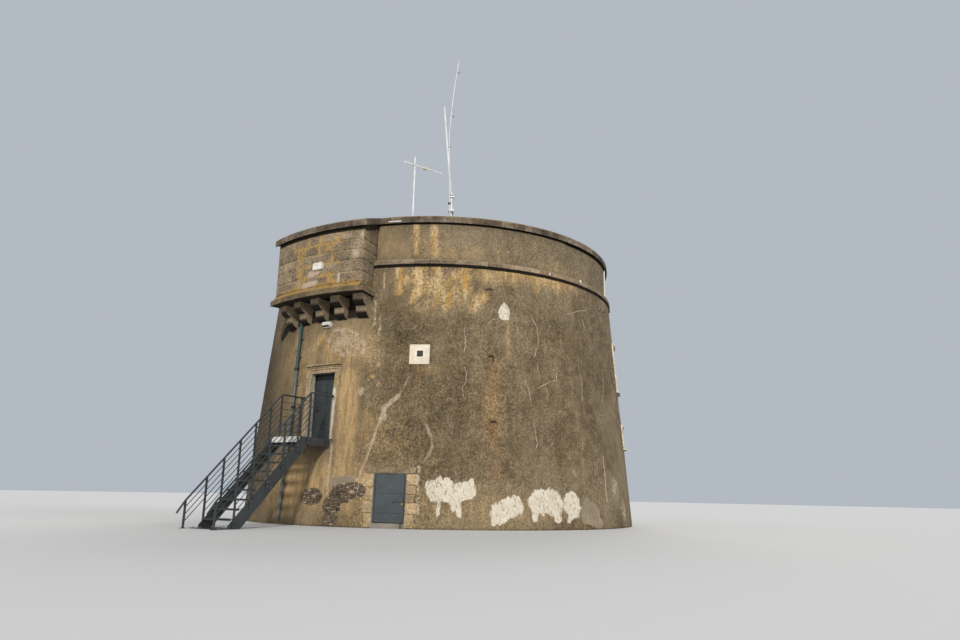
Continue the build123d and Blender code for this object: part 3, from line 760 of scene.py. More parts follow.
DRUM_WEATHER = Weather(radius=5.85, marks={
    "lichen": (
        Streak(((20.7, 6.8), (21.1, 6.15)), 0.2, 1.1),
        Streak(((26.4, 6.8), (26.8, 6.15)), 0.34, 1.1),
        Streak(((25, 6.1), (25, 5.85)), 0.15, 0.9), Streak(((31.6, 6.84), (31.8, 6.1)), 0.24, 1.1),
        Streak(((39.2, 6.8), (39.4, 6.2)), 0.3, 1.1), Streak(((34.4, 5.75), (36.5, 6.2)), 0.3, 0.8),
        Streak(((32.4, 6.25), (35.9, 6.59), (38.7, 6.61), (39.5, 6.1)), 0.26, 0.9),
        Streak(((42, 5.75), (44.2, 6.06)), 0.3, 0.9), Patch(29, 6.35, 1, 0.6, 0.8),
        Patch(22.5, 6.5, 0.7, 0.5, 0.75), Patch(34, 6, 1.4, 0.6, 0.65),
        Patch(30, 5.75, 1.3, 0.6, 0.5), Patch(47, 6.6, 0.8, 0.45, 0.6),
        Streak(((50, 6.86), (76, 6.86)), 0.17, 0.7), Streak(((54, 6.8), (54, 6.5)), 0.2, 0.6),
        Streak(((61, 6.8), (61.3, 6.45)), 0.25, 0.6), Streak(((69, 6.8), (69, 6.5)), 0.25, 0.55),
        Streak(((51.4, 5.45), (51.5, 4.4)), 0.15, 0.5), Patch(31, 4, 0.7, 0.3, 0.4),
        Streak(((6.8, 5.13), (11, 4.92), (12.3, 4.67), (11.8, 4.41)), 0.11, 0.75),
        Streak(((-4.7, 4.71), (-2.1, 5.06), (2, 4.39)), 0.3, 0.6),
        Patch(15.4, 3.82, 0.14, 0.1, 0.9), Patch(16.8, 4.12, 0.12, 0.09, 0.8),
        Patch(17.3, 3.6, 0.12, 0.09, 0.8), Patch(15, 2.6, 0.35, 1.1, 0.45),
        Patch(150, 6.5, 1.6, 0.5, 0.6), Patch(205, 6.55, 2.2, 0.45, 0.7),
        Patch(262, 6.5, 1.5, 0.5, 0.5), Patch(20, 0.55, 0.6, 0.5, 0.35),
        Patch(330, 5.4, 0.5, 1, 0.35),
    ),
    "warm": (
        Patch(7, 4.6, 1.3, 1, 1.2),
        Streak(((8.7, 3.8), (9.1, 3.1), (9.4, 2.4), (9.3, 1)), 0.38, 2.6),
        Streak(((-11.5, 1), (11.5, 1)), 0.95, 1.5), Patch(-12, 4.3, 1.5, 1.9, 0.8),
        Patch(16.5, 2.2, 1.3, 1.1, 0.5), Streak(((44, 6.75), (76, 6.75)), 0.32, 0.9),
        Patch(47, 3.2, 0.45, 1.5, 0.45), Patch(44, 0.5, 3.4, 0.7, 0.5),
        Patch(20, 0.5, 1.5, 0.8, 0.6), Patch(-30, 3, 1.2, 2.2, 0.25),
        Patch(130, 3, 2, 2.5, 0.4), Patch(240, 2.2, 2.6, 1.8, 0.4),
        Patch(185, 0.8, 4, 0.9, 0.5), Patch(300, 1, 2.2, 1.2, 0.4),
    ),
    "dark": (
        Patch(-38, 3.4, 3, 4.5, 1.7), Streak(((-48, 6.6), (-48, 0.4)), 2.4, 1.3),
        Patch(-62, 4.5, 2.6, 3.8, 0.8), Patch(22.5, 4.9, 0.75, 0.9, 0.65),
        Patch(27, 5, 1.6, 0.7, 0.35), Patch(33, 3.2, 0.6, 1.8, 0.35),
        Patch(37.5, 2.6, 0.5, 1.7, 0.3), Patch(26, 2.4, 0.7, 0.7, 0.5),
        Patch(20, 3.5, 0.6, 0.8, 0.45), Patch(-19, 5.4, 0.8, 0.9, 0.9),
        Streak(((5.5, 4.9), (6, 4.5)), 0.12), Patch(70, 5.6, 1.3, 0.9, 0.35),
        Patch(58, 2.3, 0.8, 1.8, 0.25), Patch(85, 4.3, 1.2, 2.4, 0.3),
        Patch(165, 4.6, 2.6, 2.2, 0.45), Patch(225, 4.4, 3, 2.4, 0.5),
        Patch(275, 4, 2.4, 3, 0.6),
    ),
    # Painted shadow: near-black bands between and left of the bartizan's corbels, where they shade
    # the wall.
    "soot": (
        *(Streak(((-19, z), (10.4, z)), 0.15, 3) for z in (5.6, 5.74, 5.88, 6.02, 6.16, 6.3)),
        Streak(((-24, 5.35), (-20, 5.6), (-16.5, 5.5)), 0.2, 2.4),
    ),
    "smooth": (
        Streak(((4, 5.3), (4, 0.6)), 1.15), Streak(((-14, 5), (-12, 0.4)), 1.3, 0.8),
        Patch(20, 6.3, 0.5, 0.9, 0.6), Patch(90, 2, 1, 2, 0.5),
        Streak(((60, 6.3), (60, 2.4)), 0.7, 0.13), Streak(((75, 6.3), (75, 1.8)), 1.1, 0.15),
    ),
    "pale": (
        Streak(((0.5, 4.86), (2.2, 5.17), (6.8, 5.13), (11, 4.9), (12.3, 4.67), (11.8, 4.41),
                (8.7, 4.43), (5.4, 4.45), (2.3, 4.65)), 0.13, 0.7),
        Patch(6.5, 4.8, 0.9, 0.5, 0.85), Patch(10.5, 4.68, 0.35, 0.35, 0.7),
        Patch(90.1, 1.1, 0.4, 0.5, 0.9), Patch(95.5, 0.5, 0.4, 0.5, 0.8),
        Patch(79, 0.45, 0.45, 0.5, 0.3), Patch(12.6, 3.42, 0.17, 0.16, 1.1),
        Patch(48, 1.1, 2.4, 0.25, 0.3),
        Streak(((5.68, 2.05), (5.64, 1.55), (5.7, 1.12), (5.82, 0.76)), 0.055, 1.3),
        Streak(((16.26, 6.7), (16.68, 6.23)), 0.05, 0.9),
        Streak(((16.14, 5.51), (16.51, 5.09)), 0.05, 0.9),
        Streak(((14.4, 5.91), (14.74, 5.19)), 0.05, 0.9),
        Streak(((16.14, 5.19), (16.2, 4.79)), 0.05, 0.8),
        Streak(((28.9, 1.5), (29, 1), (29.1, 0.7), (29.4, 0.34)), 0.07, 0.8),
        Streak(((84.2, 2), (84.1, 0.7)), 0.06, 0.9),
        Patch(74, 2, 0.16, 1.4, 0.35), Patch(65, 1.5, 0.2, 1, 0.25),
        Patch(120, 1.2, 0.5, 0.5, 0.7), Patch(171, 2.6, 0.6, 0.5, 0.5),
        Patch(214, 1.1, 0.8, 0.35, 0.6), Patch(288, 2.2, 0.5, 0.6, 0.5),
    ),
    "scar": (
        Streak(SCAR_LEFT[:3], 0.075, 0.42), Streak(SCAR_LEFT[2:5], 0.1, 0.9),
        Streak(SCAR_LEFT[4:8], 0.07, 0.6), Streak(SCAR_LEFT[7:], 0.05, 0.55),
        Streak(SCAR_RIGHT[:3], 0.05, 0.32), Streak(SCAR_RIGHT[2:6], 0.075, 0.5),
        Streak(SCAR_RIGHT[5:], 0.06, 0.42), Patch(19.3, 2.85, 0.09, 0.28, 1, 20),
    ),
    "limewash": (
        Streak(((33.6, 0.96), (35.5, 0.92)), 0.38, 1.2),
        Streak(((35.5, 0.86), (40.7, 0.9)), 0.29, 1.2),
        Streak(((36.9, 0.7), (37.4, 0.5)), 0.1, 0.9), Streak(((38.4, 0.7), (38.6, 0.36)), 0.1, 0.9),
        Streak(((41.6, 1), (41.7, 1.2)), 0.08, 0.9), Streak(((34, 0.6), (33.9, 0.36)), 0.07, 0.6),
        Streak(((48.7, 0.42), (51.7, 0.58)), 0.34, 1.2),
        Streak(((47.2, 0.4), (46.9, 0.16)), 0.1, 0.9),
        Streak(((59, 0.72), (62.8, 0.7)), 0.42, 1.2), Streak(((57.6, 0.5), (57.5, 0.3)), 0.13),
        Streak(((63.6, 0.5), (64.4, 0.3)), 0.15), Streak(((69, 0.72), (69.3, 0.52)), 0.35, 1.2),
        Streak(((68.2, 0.4), (67.6, 0.22)), 0.1, 0.9),
        Patch(196, 0.8, 0.6, 0.35),
        Patch(201, 0.65, 0.4, 0.3), Patch(252, 0.9, 0.4, 0.5),
        Patch(140, 0.6, 0.5, 0.35),
    ),
    "rubble": (
        Patch(1.2, 0.73, 0.42, 0.26), Patch(10.5, 0.82, 0.5, 0.3, 1, 12),
        Patch(13.6, 0.9, 0.36, 0.24, 1, -10), Patch(8.2, 0.62, 0.25, 0.2),
        Patch(7.4, 0.5, 0.3, 0.32), Patch(7.6, 0.2, 0.26, 0.3),
        Patch(161, 0.7, 0.5, 0.35), Patch(232, 0.6, 0.6, 0.3),
    ),
    "repair": (
        Streak(((74.7, 0.66), (73.6, 0.3)), 0.2, 1.2),
        Streak(((74.4, 0.3), (79.6, 0.16)), 0.18, 1.2),
        Patch(75.8, 0.42, 0.5, 0.36, 1.3), Streak(((7.6, 1.08), (12, 1.14)), 0.17, 1.1),
        Patch(110, 3.6, 0.9, 0.5, 0.9),
    ),
    "rust": (
        Streak(((46.8, 2.66), (46.8, 2.3)), 0.07, 0.9),
        Streak(((46.3, 6.26), (46.3, 5.9)), 0.05, 0.6),
        Streak(((46.96, 3.96), (46.13, 3.19), (46.45, 2.45), (47.45, 1.37)), 0.34, 0.2),
        Streak(((46.7, 4.4), (46.8, 3.9)), 0.05, 0.6),
        Streak(((91.5, 6.4), (91.5, 5.9)), 0.04, 0.5),
        Streak(((27.6, 4.12), (27.4, 3.7)), 0.12, 0.3),
    ),
})

PARAPET_WEATHER = Weather(radius=5.44, marks={
    "lichen": (
        Streak(((24.9, 8.15), (25.2, 7.3)), 0.13), Streak(((30.1, 8.15), (30.4, 7.2)), 0.17),
        Streak(((27, 8.1), (27, 7.6)), 0.1, 0.4), Streak(((38, 8.1), (38.2, 7.7)), 0.1, 0.3),
        Streak(((140, 8.1), (140, 7.3)), 0.15, 0.8), Streak(((188, 8.1), (188, 7.3)), 0.2, 0.8),
        Streak(((250, 8.1), (250.5, 7.4)), 0.16, 0.7), Streak(((307, 8.1), (307, 7.5)), 0.16, 0.7),
    ),
    "smooth": (Streak(((14, 7.6), (18.5, 7.6)), 0.6), Patch(42, 7.6, 2.2, 0.5, 0.08)),
    "warm": (Streak(((14, 7.6), (18, 7.6)), 0.55, 0.75), Patch(28, 7.6, 1.2, 0.5, 0.35),
        Patch(35, 7.3, 2.4, 0.35, 0.5),
             Patch(70, 7.25, 1.5, 0.3, 0.4), Patch(200, 7.5, 3, 0.5, 0.5)),
    "dark": (Patch(45, 8.1, 3, 0.2, 0.5),
             Patch(75, 8.1, 2.4, 0.2, 0.5), Patch(95, 7.7, 1.6, 0.6, 0.35),
             Patch(220, 8.1, 6, 0.25, 0.5), Patch(320, 8.1, 3, 0.25, 0.5)),
    # Painted shadow: a dark band on the parapet just under the coping on the right side.
    "soot": (Streak(((75, 8.22), (112, 8.22)), 0.16, 2),),
    "pale": (Patch(52, 7.4, 0.14, 0.4, 0.3),),
})


def relief_at(azimuth: float, height: float, radius: float) -> float:
    """Unevenness of the trowelled coat at a point, in metres, between 0.001 and 0.0095.

    Args:
        azimuth: Where on the wall, in degrees.
        height: Height above the ground.
        radius: Radius of the wall there.

    Returns:
        The distance, in metres.
    """
    turn = math.radians(azimuth)
    place = Vector((math.sin(turn) * radius, height, math.cos(turn) * radius))
    broad, fine = noise.noise(place * 0.9), noise.noise(place * 3.1)
    return min(max(0.0052 + 0.0035 * broad + 0.0018 * fine, 0.001), 0.0095)


@dataclass(frozen=True)
class WallRender:
    """Old cement render with everything that the weather has left on it, and painted shadow under
    the string course, the coping and between the bartizan's corbels.
    """

    name: str
    deep: Colour = (0.135, 0.098, 0.056)
    mid: Colour = (0.215, 0.158, 0.09)
    light: Colour = (0.285, 0.222, 0.138)
    warm: Colour = (0.52, 0.35, 0.17)
    ochre: Colour = (0.56, 0.3, 0.07)
    lichen: Colour = (0.44, 0.285, 0.11)
    cream: Colour = (0.6, 0.43, 0.23)
    wash: Colour = (0.82, 0.73, 0.59)
    pale: Colour = (0.54, 0.43, 0.305)
    rust: Colour = (0.27, 0.115, 0.04)
    stone: Colour = (0.098, 0.073, 0.05)
    repair: Colour = (0.37, 0.295, 0.205)
    contrast: float = 0.74
    marked: bool = True
    eaves_shade_line: float = 6.897
    eaves_shade_depth: float = 0.03

    def material(self) -> Material:
        """Builds the material.

        Returns:
            The material.
        """
        s = Shade(self.name, self.deep)
        streaky = s.stretch(0.14)
        cloud, blotch = s.noise(0.55, 5.0, 0.6), s.noise(3.2, 6.0, 0.62)
        run = s.noise(2.6, 5.0, 0.6, streaky, 0.3)
        thin_run = s.noise(7.0, 4.0, 0.65, streaky)
        grit, rough_edge = s.noise(27.0, 3.0, 0.8), s.noise(11.0, 5.0, 0.7)
        ragged = s.noise(5.0, 6.0, 0.7, s.stretch(0.45), 0.6)
        s.lay(s.fade(blotch, 0.36, 0.64), self.mid)
        s.lay(s.fade(cloud, 0.42, 0.68, 0.0, 0.75), self.light)
        s.lay(s.fade(run, 0.5, 0.7, 0.0, 0.7), self.deep)
        s.lay(s.fade(thin_run, 0.55, 0.72, 0.0, 0.5), self.light)
        bumps, smooth = s.times(grit, 0.5), s.fade(cloud, 0.3, 0.7, 0.0, 0.45)
        if self.marked:
            def patch(kind: str, low: float, high: float, push: float) -> Socket:
                """Share of a mark, with its rim broken up by noise."""
                torn = s.times(s.minus(ragged, 0.5), push)
                torn = s.times(torn, s.fade(s.mask(kind), 0.0, 0.12))
                return s.fade(s.plus(s.mask(kind), torn), low, high)

            tan = s.blend(s.fade(thin_run, 0.42, 0.62), self.warm, s.scaled(self.warm, 0.66))
            tan = s.blend(s.fade(run, 0.5, 0.7, 0.0, 0.8), tan, self.light)
            s.lay(s.times(s.mask("warm"), s.fade(blotch, 0.25, 0.6, 0.5, 1.0)), tan)
            dark = s.times(s.mask("dark"), s.fade(blotch, 0.2, 0.7, 0.55, 0.95), True)
            s.lay(dark, s.scaled(s.colour, 0.4))
            # Painted shadow: where this mask is set the wall goes nearly black.
            s.lay(s.fade(s.mask("soot"), 0.05, 0.6), s.scaled(s.colour, 0.1))
            growth = s.times(s.mask("lichen"), s.fade(rough_edge, 0.35, 0.6, 0.35, 1.0))
            crust = s.blend(s.fade(thin_run, 0.44, 0.56), self.cream, self.lichen)
            s.lay(s.fade(growth, 0.05, 0.75), crust)
            yellow = s.times(s.mask("lichen"), s.fade(ragged, 0.46, 0.64))
            yellow = s.times(yellow, s.fade(thin_run, 0.4, 0.55, 0.3, 1.0))
            s.lay(s.fade(yellow, 0.2, 0.7, 0.0, 0.85), self.ochre)
            s.lay(s.times(s.mask("rust"), 0.85), self.rust)
            s.lay(patch("repair", 0.18, 0.3, 0.3), s.blend(
                s.fade(blotch, 0.3, 0.7), self.repair, s.scaled(self.repair, 0.75)))
            pale = s.times(s.mask("pale"), s.fade(rough_edge, 0.3, 0.62))
            s.lay(s.fade(pale, 0.1, 0.6, 0.0, 0.8), self.pale)
            scar = s.fade(rough_edge, 0.3, 0.6, 0.4, 0.95)
            s.lay(s.times(patch("scar", 0.12, 0.6, 0.9), scar), self.pale)
            washed = patch("limewash", 0.22, 0.34, 1.5)
            worn = s.fade(s.noise(17.0, 4.0, 0.8, s.stretch(0.6)), 0.52, 0.62, 0.0, 0.7)
            s.lay(s.times(washed, s.minus(1.0, worn)), s.blend(
                s.fade(blotch, 0.3, 0.75), self.wash, s.scaled(self.wash, 0.82)))
            bare = patch("rubble", 0.16, 0.24, 0.5)
            stones = s.cells(7.5, feature="DISTANCE_TO_EDGE")
            shade = s.blend(s.fade(s.noise(9.0, 3.0), 0.3, 0.7), self.stone,
                            s.scaled(self.stone, 1.7))
            strand = s.times(s.fade(stones, 0.02, 0.08, 0.85, 0.0), s.fade(rough_edge, 0.42, 0.6))
            s.lay(bare, s.blend(strand, shade, self.pale))
            bumps = s.plus(bumps, s.times(washed, 0.35))
            bumps = s.plus(bumps, s.times(bare, s.fade(stones, 0.0, 0.2, -1.2, 0.2)))
            for kind, share in (("smooth", 0.72), ("lichen", 0.5), ("scar", 0.7),
                                ("limewash", 0.85), ("repair", 0.85)):
                smooth = s.math("MAXIMUM", smooth, s.fade(s.mask(kind), 0.0, 0.25, 0.0, share))
        low, high = 1.0 - 0.5 * self.contrast, 1.0 + 0.5 * self.contrast
        gravel = s.split(s.cells(29.0, s.stretch(0.8), output="Color"))[0]
        speckle = s.times(s.fade(grit, 0.38, 0.62, low, high), s.fade(gravel, 0.0, 1.0, low, high))
        speckle = s.times(speckle, s.fade(s.cells(12.0), 0.02, 0.14, 1.0 - 0.8 * self.contrast))
        s.gain(s.plus(s.times(smooth, s.minus(1.0, speckle)), speckle))
        # Painted shadow: a near-black band just below the given height, where the string course or
        # the coping shades the wall.
        level = s.plus(s.parts(s.position)["Z"], s.times(ragged, 0.04))
        s.gain(s.fade(level, self.eaves_shade_line - self.eaves_shade_depth, self.eaves_shade_line - 0.5 * self.eaves_shade_depth,
                      1.0, 0.05))
        normal = s.relief(s.noise(7.0, 6.0, 0.65), 0.022, s.relief(bumps, 0.016))
        return s.finish(s.fade(blotch, 0.2, 0.8, 0.98, 0.84),
                        s.relief(s.cells(24.0), 0.006, normal), 0.2)


@dataclass(frozen=True)
class WeatheredStone:
    """Dressed granite, mottled, with lichen and sooty patches, painted shade on the faces that look
    down and painted shadow under the coping where set.
    """

    name: str
    light: Colour
    dark: Colour
    growth: Colour = (0.42, 0.27, 0.06)
    growth_share: float = 0.25
    soot_share: float = 0.3
    tinted: bool = False
    top_growth: float = 0.0
    marked: bool = False
    pale: Colour = (0.6, 0.47, 0.36)
    underside_shade: float = 0.6
    slabs: float = 0.0
    shaded: bool = False
    spots: float = 0.76

    def material(self) -> Material:
        """Builds the material.

        Returns:
            The material.
        """
        s = Shade(self.name, self.dark)
        blotch, patchy = s.noise(2.4, 6.0, 0.65), s.noise(6.5, 6.0, 0.7)
        crystals = s.noise(60.0, 2.0, 0.75)
        s.lay(s.fade(blotch, 0.35, 0.65), self.light)
        s.gain(s.fade(crystals, 0.35, 0.65, 0.72, 1.28))
        s.gain(s.fade(s.noise(19.0, 3.0, 0.8), 0.38, 0.62, self.spots, 2.0 - self.spots))
        if self.tinted:
            s.gain(s.mask("tint"))
        if self.slabs:
            slab = s.split(s.cells(self.slabs, s.stretch(0.1), output="Color"))
            s.gain(s.fade(slab[0], 0.0, 1.0, 0.72, 1.3))
            s.lay(s.fade(slab[1], 0.5, 1.0, 0.0, 0.45),
                  s.blend(1.0, s.colour, (1.18, 0.92, 0.85), "MULTIPLY"))
        s.lay(s.fade(patchy, 0.5, 0.7, 0.0, self.soot_share * 1.6), s.scaled(s.colour, 0.45))
        lichen = s.noise(4.2, 7.0, 0.75, s.stretch(0.6, (3.1, 1.7, 5.2)))
        limit = 0.72 - 0.3 * self.growth_share
        s.lay(s.fade(lichen, limit, limit + 0.1, 0.0, 0.85), self.growth)
        s.lay(s.fade(s.cells(9.0), 0.0, 0.16, self.growth_share, 0.0), (0.5, 0.46, 0.38))
        facing = s.parts(s.node("ShaderNodeNewGeometry").outputs["Normal"])["Z"]
        # Painted shade: faces that look down are darkened.
        s.gain(s.fade(facing, -0.55, -0.1, 1.0 - self.underside_shade))
        if self.marked:
            ragged = s.noise(11.0, 5.0, 0.7)
            s.lay(s.times(s.mask("dark"), s.fade(blotch, 0.25, 0.6, 0.5, 0.9)),
                  s.scaled(s.colour, 0.45))
            for kind, mark, low, high in (("lichen", self.growth, 0.44, 0.56),
                                          ("pale", self.pale, 0.32, 0.5)):
                share = s.times(s.mask(kind), s.fade(ragged, low, high, 0.2, 1.0))
                s.lay(s.fade(share, 0.06, 0.7, 0.0, 0.85),
                      s.scaled(mark, s.fade(crystals, 0.35, 0.65, 0.75, 1.15)))
        if self.top_growth:
            share = s.times(s.fade(facing, 0.25, 0.6), s.fade(patchy, 0.3, 0.5))
            s.lay(s.times(share, self.top_growth), self.growth)
        # Painted shadow: the stone goes dark in a band under the coping's bed, deeper on the cheeks
        # than on the front.
        if self.shaded:
            reach = s.node("ShaderNodeVectorMath", {0: s.stretch(0.0)},
                           operation="LENGTH").outputs["Value"]
            bed = s.minus(SHAPE.bed(0.0), s.times(reach, SHAPE.head_slope))
            below = s.minus(s.minus(bed, s.parts(s.position)["Z"]),
                            s.fade(reach, 6.1, 6.24, 0.17, 0.12))
            s.gain(s.fade(below, -0.015, 0.015, 0.1))
        return s.finish(0.92, s.relief(crystals, 0.003, s.relief(patchy, 0.014)), 0.22)


@dataclass(frozen=True)
class Paint:
    """Paint on metal, plastic or board, with dust, grime and a few worn spots."""

    name: str
    colour: Colour
    roughness: float = 0.45
    metallic: float = 0.0
    grime: float = 0.25
    wear: Colour = (0.2, 0.12, 0.07)
    wear_share: float = 0.1
    above: Optional[tuple[float, Colour]] = None
    bands: tuple[Pair, ...] = ()

    def material(self) -> Material:
        """Builds the material.

        Returns:
            The material.
        """
        s = Shade(self.name, self.colour)
        cloud, run = s.noise(3.5, 5.0, 0.6), s.noise(14.0, 4.0, 0.6, s.stretch(0.2))
        s.gain(s.fade(cloud, 0.3, 0.7, 0.86, 1.14))
        s.lay(s.fade(run, 0.52, 0.75, 0.0, self.grime), s.scaled(self.colour, 0.55))
        s.lay(s.fade(s.noise(5.0, 6.0, 0.7), 0.55, 0.8, 0.0, self.grime), (0.25, 0.21, 0.16))
        s.lay(s.fade(s.noise(34.0, 4.0, 0.7), 0.76 - 0.1 * self.wear_share, 0.78, 0.0,
                     self.wear_share * 4), self.wear)
        # A second colour above a height: the downpipe's upper paint, and painted shadow at the top
        # of the entrance door.
        if self.above is not None:
            level, upper = self.above
            s.lay(s.math("GREATER_THAN", s.parts(s.position)["Z"], level),
                  s.scaled(upper, s.fade(cloud, 0.3, 0.7, 0.86, 1.14)))
        for low, high in self.bands:
            away = s.math("ABSOLUTE", s.minus(s.parts(s.position)["Z"], (low + high) / 2))
            s.lay(s.math("LESS_THAN", away, (high - low) / 2), (0.05, 0.048, 0.045))
        normal = s.relief(s.plus(s.times(s.noise(90.0, 3.0, 0.6), 0.3), cloud), 0.0015)
        rough = s.fade(run, 0.3, 0.7, self.roughness - 0.06, min(self.roughness + 0.14, 1.0))
        return s.finish(rough, normal, 0.45, self.metallic)


@dataclass(frozen=True)
class Paving:
    """Worn granite flags of the gun platform and the floors."""

    name: str
    moss_share: float

    def material(self) -> Material:
        """Builds the material.

        Returns:
            The material.
        """
        s = Shade(self.name, (0.2, 0.175, 0.14))
        bricks = s.node("ShaderNodeTexBrick", {
            "Vector": s.position, "Scale": 1.0, "Brick Width": 0.75, "Row Height": 0.5,
            "Mortar Size": 0.012, "Mortar Smooth": 0.4, "Color1": (0.85, 0.85, 0.85),
            "Color2": (1.12, 1.12, 1.12), "Mortar": (0.45, 0.45, 0.42)}, offset=0.5).outputs
        s.lay(s.fade(s.noise(0.9, 5.0, 0.6), 0.35, 0.65), (0.36, 0.32, 0.26))
        s.gain(s.fade(s.noise(70.0, 2.0, 0.7), 0.3, 0.7, 0.85, 1.15))
        s.colour = s.blend(1.0, s.colour, bricks["Color"], "MULTIPLY")
        s.lay(s.fade(s.noise(1.7, 7.0, 0.7), 0.62 - 0.15 * self.moss_share, 0.72, 0.0,
                     self.moss_share), (0.12, 0.13, 0.05))
        normal = s.relief(s.fade(bricks["Fac"], 0.0, 1.0, 1.0, 0.0), 0.008)
        return s.finish(0.9, s.relief(s.noise(5.0, 6.0, 0.65), 0.012, normal), 0.25)


FINISHES = (
    WallRender("drum_render"),
    WallRender("plain_render", marked=False, eaves_shade_line=99.0),
    WallRender(
        "parapet_render", deep=(0.18, 0.135, 0.085), mid=(0.25, 0.19, 0.118), contrast=0.55,
        eaves_shade_line=8.191, eaves_shade_depth=0.07),
    WeatheredStone(
        "coping_granite", (0.2, 0.16, 0.115), (0.095, 0.075, 0.054), soot_share=0.5,
        growth_share=0.1, top_growth=0.3, slabs=1.5),
    WeatheredStone(
        "string_granite", (0.33, 0.255, 0.17), (0.2, 0.152, 0.1), growth=(0.34, 0.27, 0.17),
        growth_share=0.1, soot_share=0.5, top_growth=0.7, underside_shade=0.93, slabs=1.1),
    WeatheredStone(
        "corbel_granite", (0.33, 0.255, 0.165), (0.2, 0.152, 0.098), growth_share=0.05,
        underside_shade=0.95, spots=0.84),
    WeatheredStone(
        "sole_granite", (0.22, 0.165, 0.095), (0.13, 0.098, 0.06), growth=(0.5, 0.3, 0.09),
        growth_share=0.12, top_growth=0.7, underside_shade=0.9),
    WeatheredStone(
        "bedding_mortar", (0.42, 0.32, 0.18), (0.26, 0.19, 0.11), growth=(0.5, 0.31, 0.09),
        growth_share=0.3, marked=True, shaded=True),
    WeatheredStone(
        "ashlar_granite", (0.36, 0.275, 0.178), (0.235, 0.178, 0.115), tinted=True,
        growth=(0.52, 0.32, 0.1), growth_share=0.1, soot_share=0.35, marked=True, shaded=True,
        spots=0.7),
    WeatheredStone(
        "moulded_stone", (0.48, 0.36, 0.215), (0.33, 0.245, 0.15), growth_share=0.05,
        marked=True, pale=(0.78, 0.71, 0.58)),
    WeatheredStone(
        "quoin_stone", (0.48, 0.35, 0.2), (0.31, 0.225, 0.135), tinted=True,
        growth=(0.5, 0.38, 0.2), growth_share=0.3, soot_share=0.35, marked=True),
    *(WeatheredStone(name, light, dark, growth_share=growth, soot_share=soot, tinted=tinted)
      for name, light, dark, growth, soot, tinted in (
        ("rubble_stone", (0.165, 0.12, 0.088), (0.08, 0.058, 0.042), 0.0, 0.4, True),
        ("crack_filler", (0.62, 0.53, 0.4), (0.52, 0.44, 0.33), 0.0, 0.1, False),
        ("new_plaster", (0.72, 0.64, 0.51), (0.58, 0.51, 0.4), 0.0, 0.1, False),
        ("tan_stone", (0.52, 0.38, 0.21), (0.34, 0.24, 0.13), 0.1, 0.25, False),
        ("cream_stone", (0.82, 0.76, 0.62), (0.66, 0.58, 0.44), 0.0, 0.2, False),
        ("inner_masonry", (0.6, 0.55, 0.46), (0.42, 0.38, 0.31), 0.0, 0.25, False))),
    Paving("platform_flags", 0.4),
    Paving("room_flags", 0.0),
    Paint("door_slate", (0.06, 0.072, 0.078), 0.42),
    # Painted shadow: the door and its frame are near black above 3.8 m, under the lintel.
    Paint("entrance_slate", (0.036, 0.045, 0.049), 0.42, above=(3.8, (0.006, 0.007, 0.008))),
    Paint("rivet_grey", (0.15, 0.16, 0.165)),
    Paint("brass_old", (0.42, 0.3, 0.11), 0.35, 0.85, 0.3),
    Paint("bolt_steel", (0.2, 0.2, 0.2), 0.4, 0.5),
    Paint("grip_strip", (0.03, 0.032, 0.034), 0.8, grime=0.4),
    Paint("rusty_iron", (0.035, 0.025, 0.02), 0.8, 0.0, 0.1, (0.2, 0.09, 0.04), 0.4),
    Paint("dark_glass", (0.03, 0.03, 0.028), 0.15, wear_share=0.0),
    Paint("black_rubber", (0.018, 0.018, 0.018), 0.6, wear_share=0.0),
    Paint("stair_slate", (0.038, 0.044, 0.046), 0.42),
    Paint("fascia_white", (0.76, 0.74, 0.7), 0.5, grime=0.35),
    Paint("pipe_grey", (0.12, 0.135, 0.13), 0.5, above=(4.12, (0.018, 0.072, 0.072))),
    Paint("sign_cream", (0.78, 0.68, 0.53), grime=0.12, wear_share=0.02),
    Paint("feed_cream", (0.7, 0.62, 0.42), 0.5, grime=0.3),
    Paint("housing_white", (0.8, 0.77, 0.71), 0.5, grime=0.3, wear_share=0.02),
    Paint("mast_metal", (0.84, 0.84, 0.83), 0.45, 0.1, 0.05, wear_share=0.0),
    Paint("clamped_metal", (0.8, 0.8, 0.79), 0.42, 0.15, 0.1, wear_share=0.0,
          bands=((10.66, 10.7), (11.26, 11.325))),
    Paint("whip_white", (0.8, 0.79, 0.77), grime=0.15, wear_share=0.0),
)

# A name that ends in an underscore stands for every node that starts with it.
NODE_FINISHES = {
    "inner_masonry": ("entrance_bay_", "ground_bay_", "wall_segment_", "window_bay_"),
    "plain_render": ("parapet_1", "parapet_2", "parapet_3", "parapet_4"),
    "coping_granite": ("parapet_coping", "bartizan_coping"),
    "string_granite": ("string_course",),
    "corbel_granite": ("bartizan_corbels",),
    "sole_granite": ("bartizan_sole",),
    "bedding_mortar": ("bartizan_front", "bartizan_cheeks"),
    "platform_flags": ("roof_vault", "firing_step", "gun_pivot"),
    "room_flags": ("ground_floor", "first_floor"),
    "moulded_stone": ("entrance_surround",),
    "tan_stone": ("ground_door_surround",),
    "cream_stone": ("window_surrounds",),
    "door_slate": ("ground_door_frame", "ground_door", "window_shutter"),
    "entrance_slate": ("entrance_frame", "entrance_door"),
    "stair_slate": ("stair_", "guard_"),
    "fascia_white": ("landing_fascia",),
    "pipe_grey": ("downpipe",),
    "sign_cream": ("sign_panel",),
    "housing_white": ("wall_lights",),
    "clamped_metal": ("aerial_mast",),
    "mast_metal": ("yagi_aerial",),
    "whip_white": ("whip_aerials",),
}


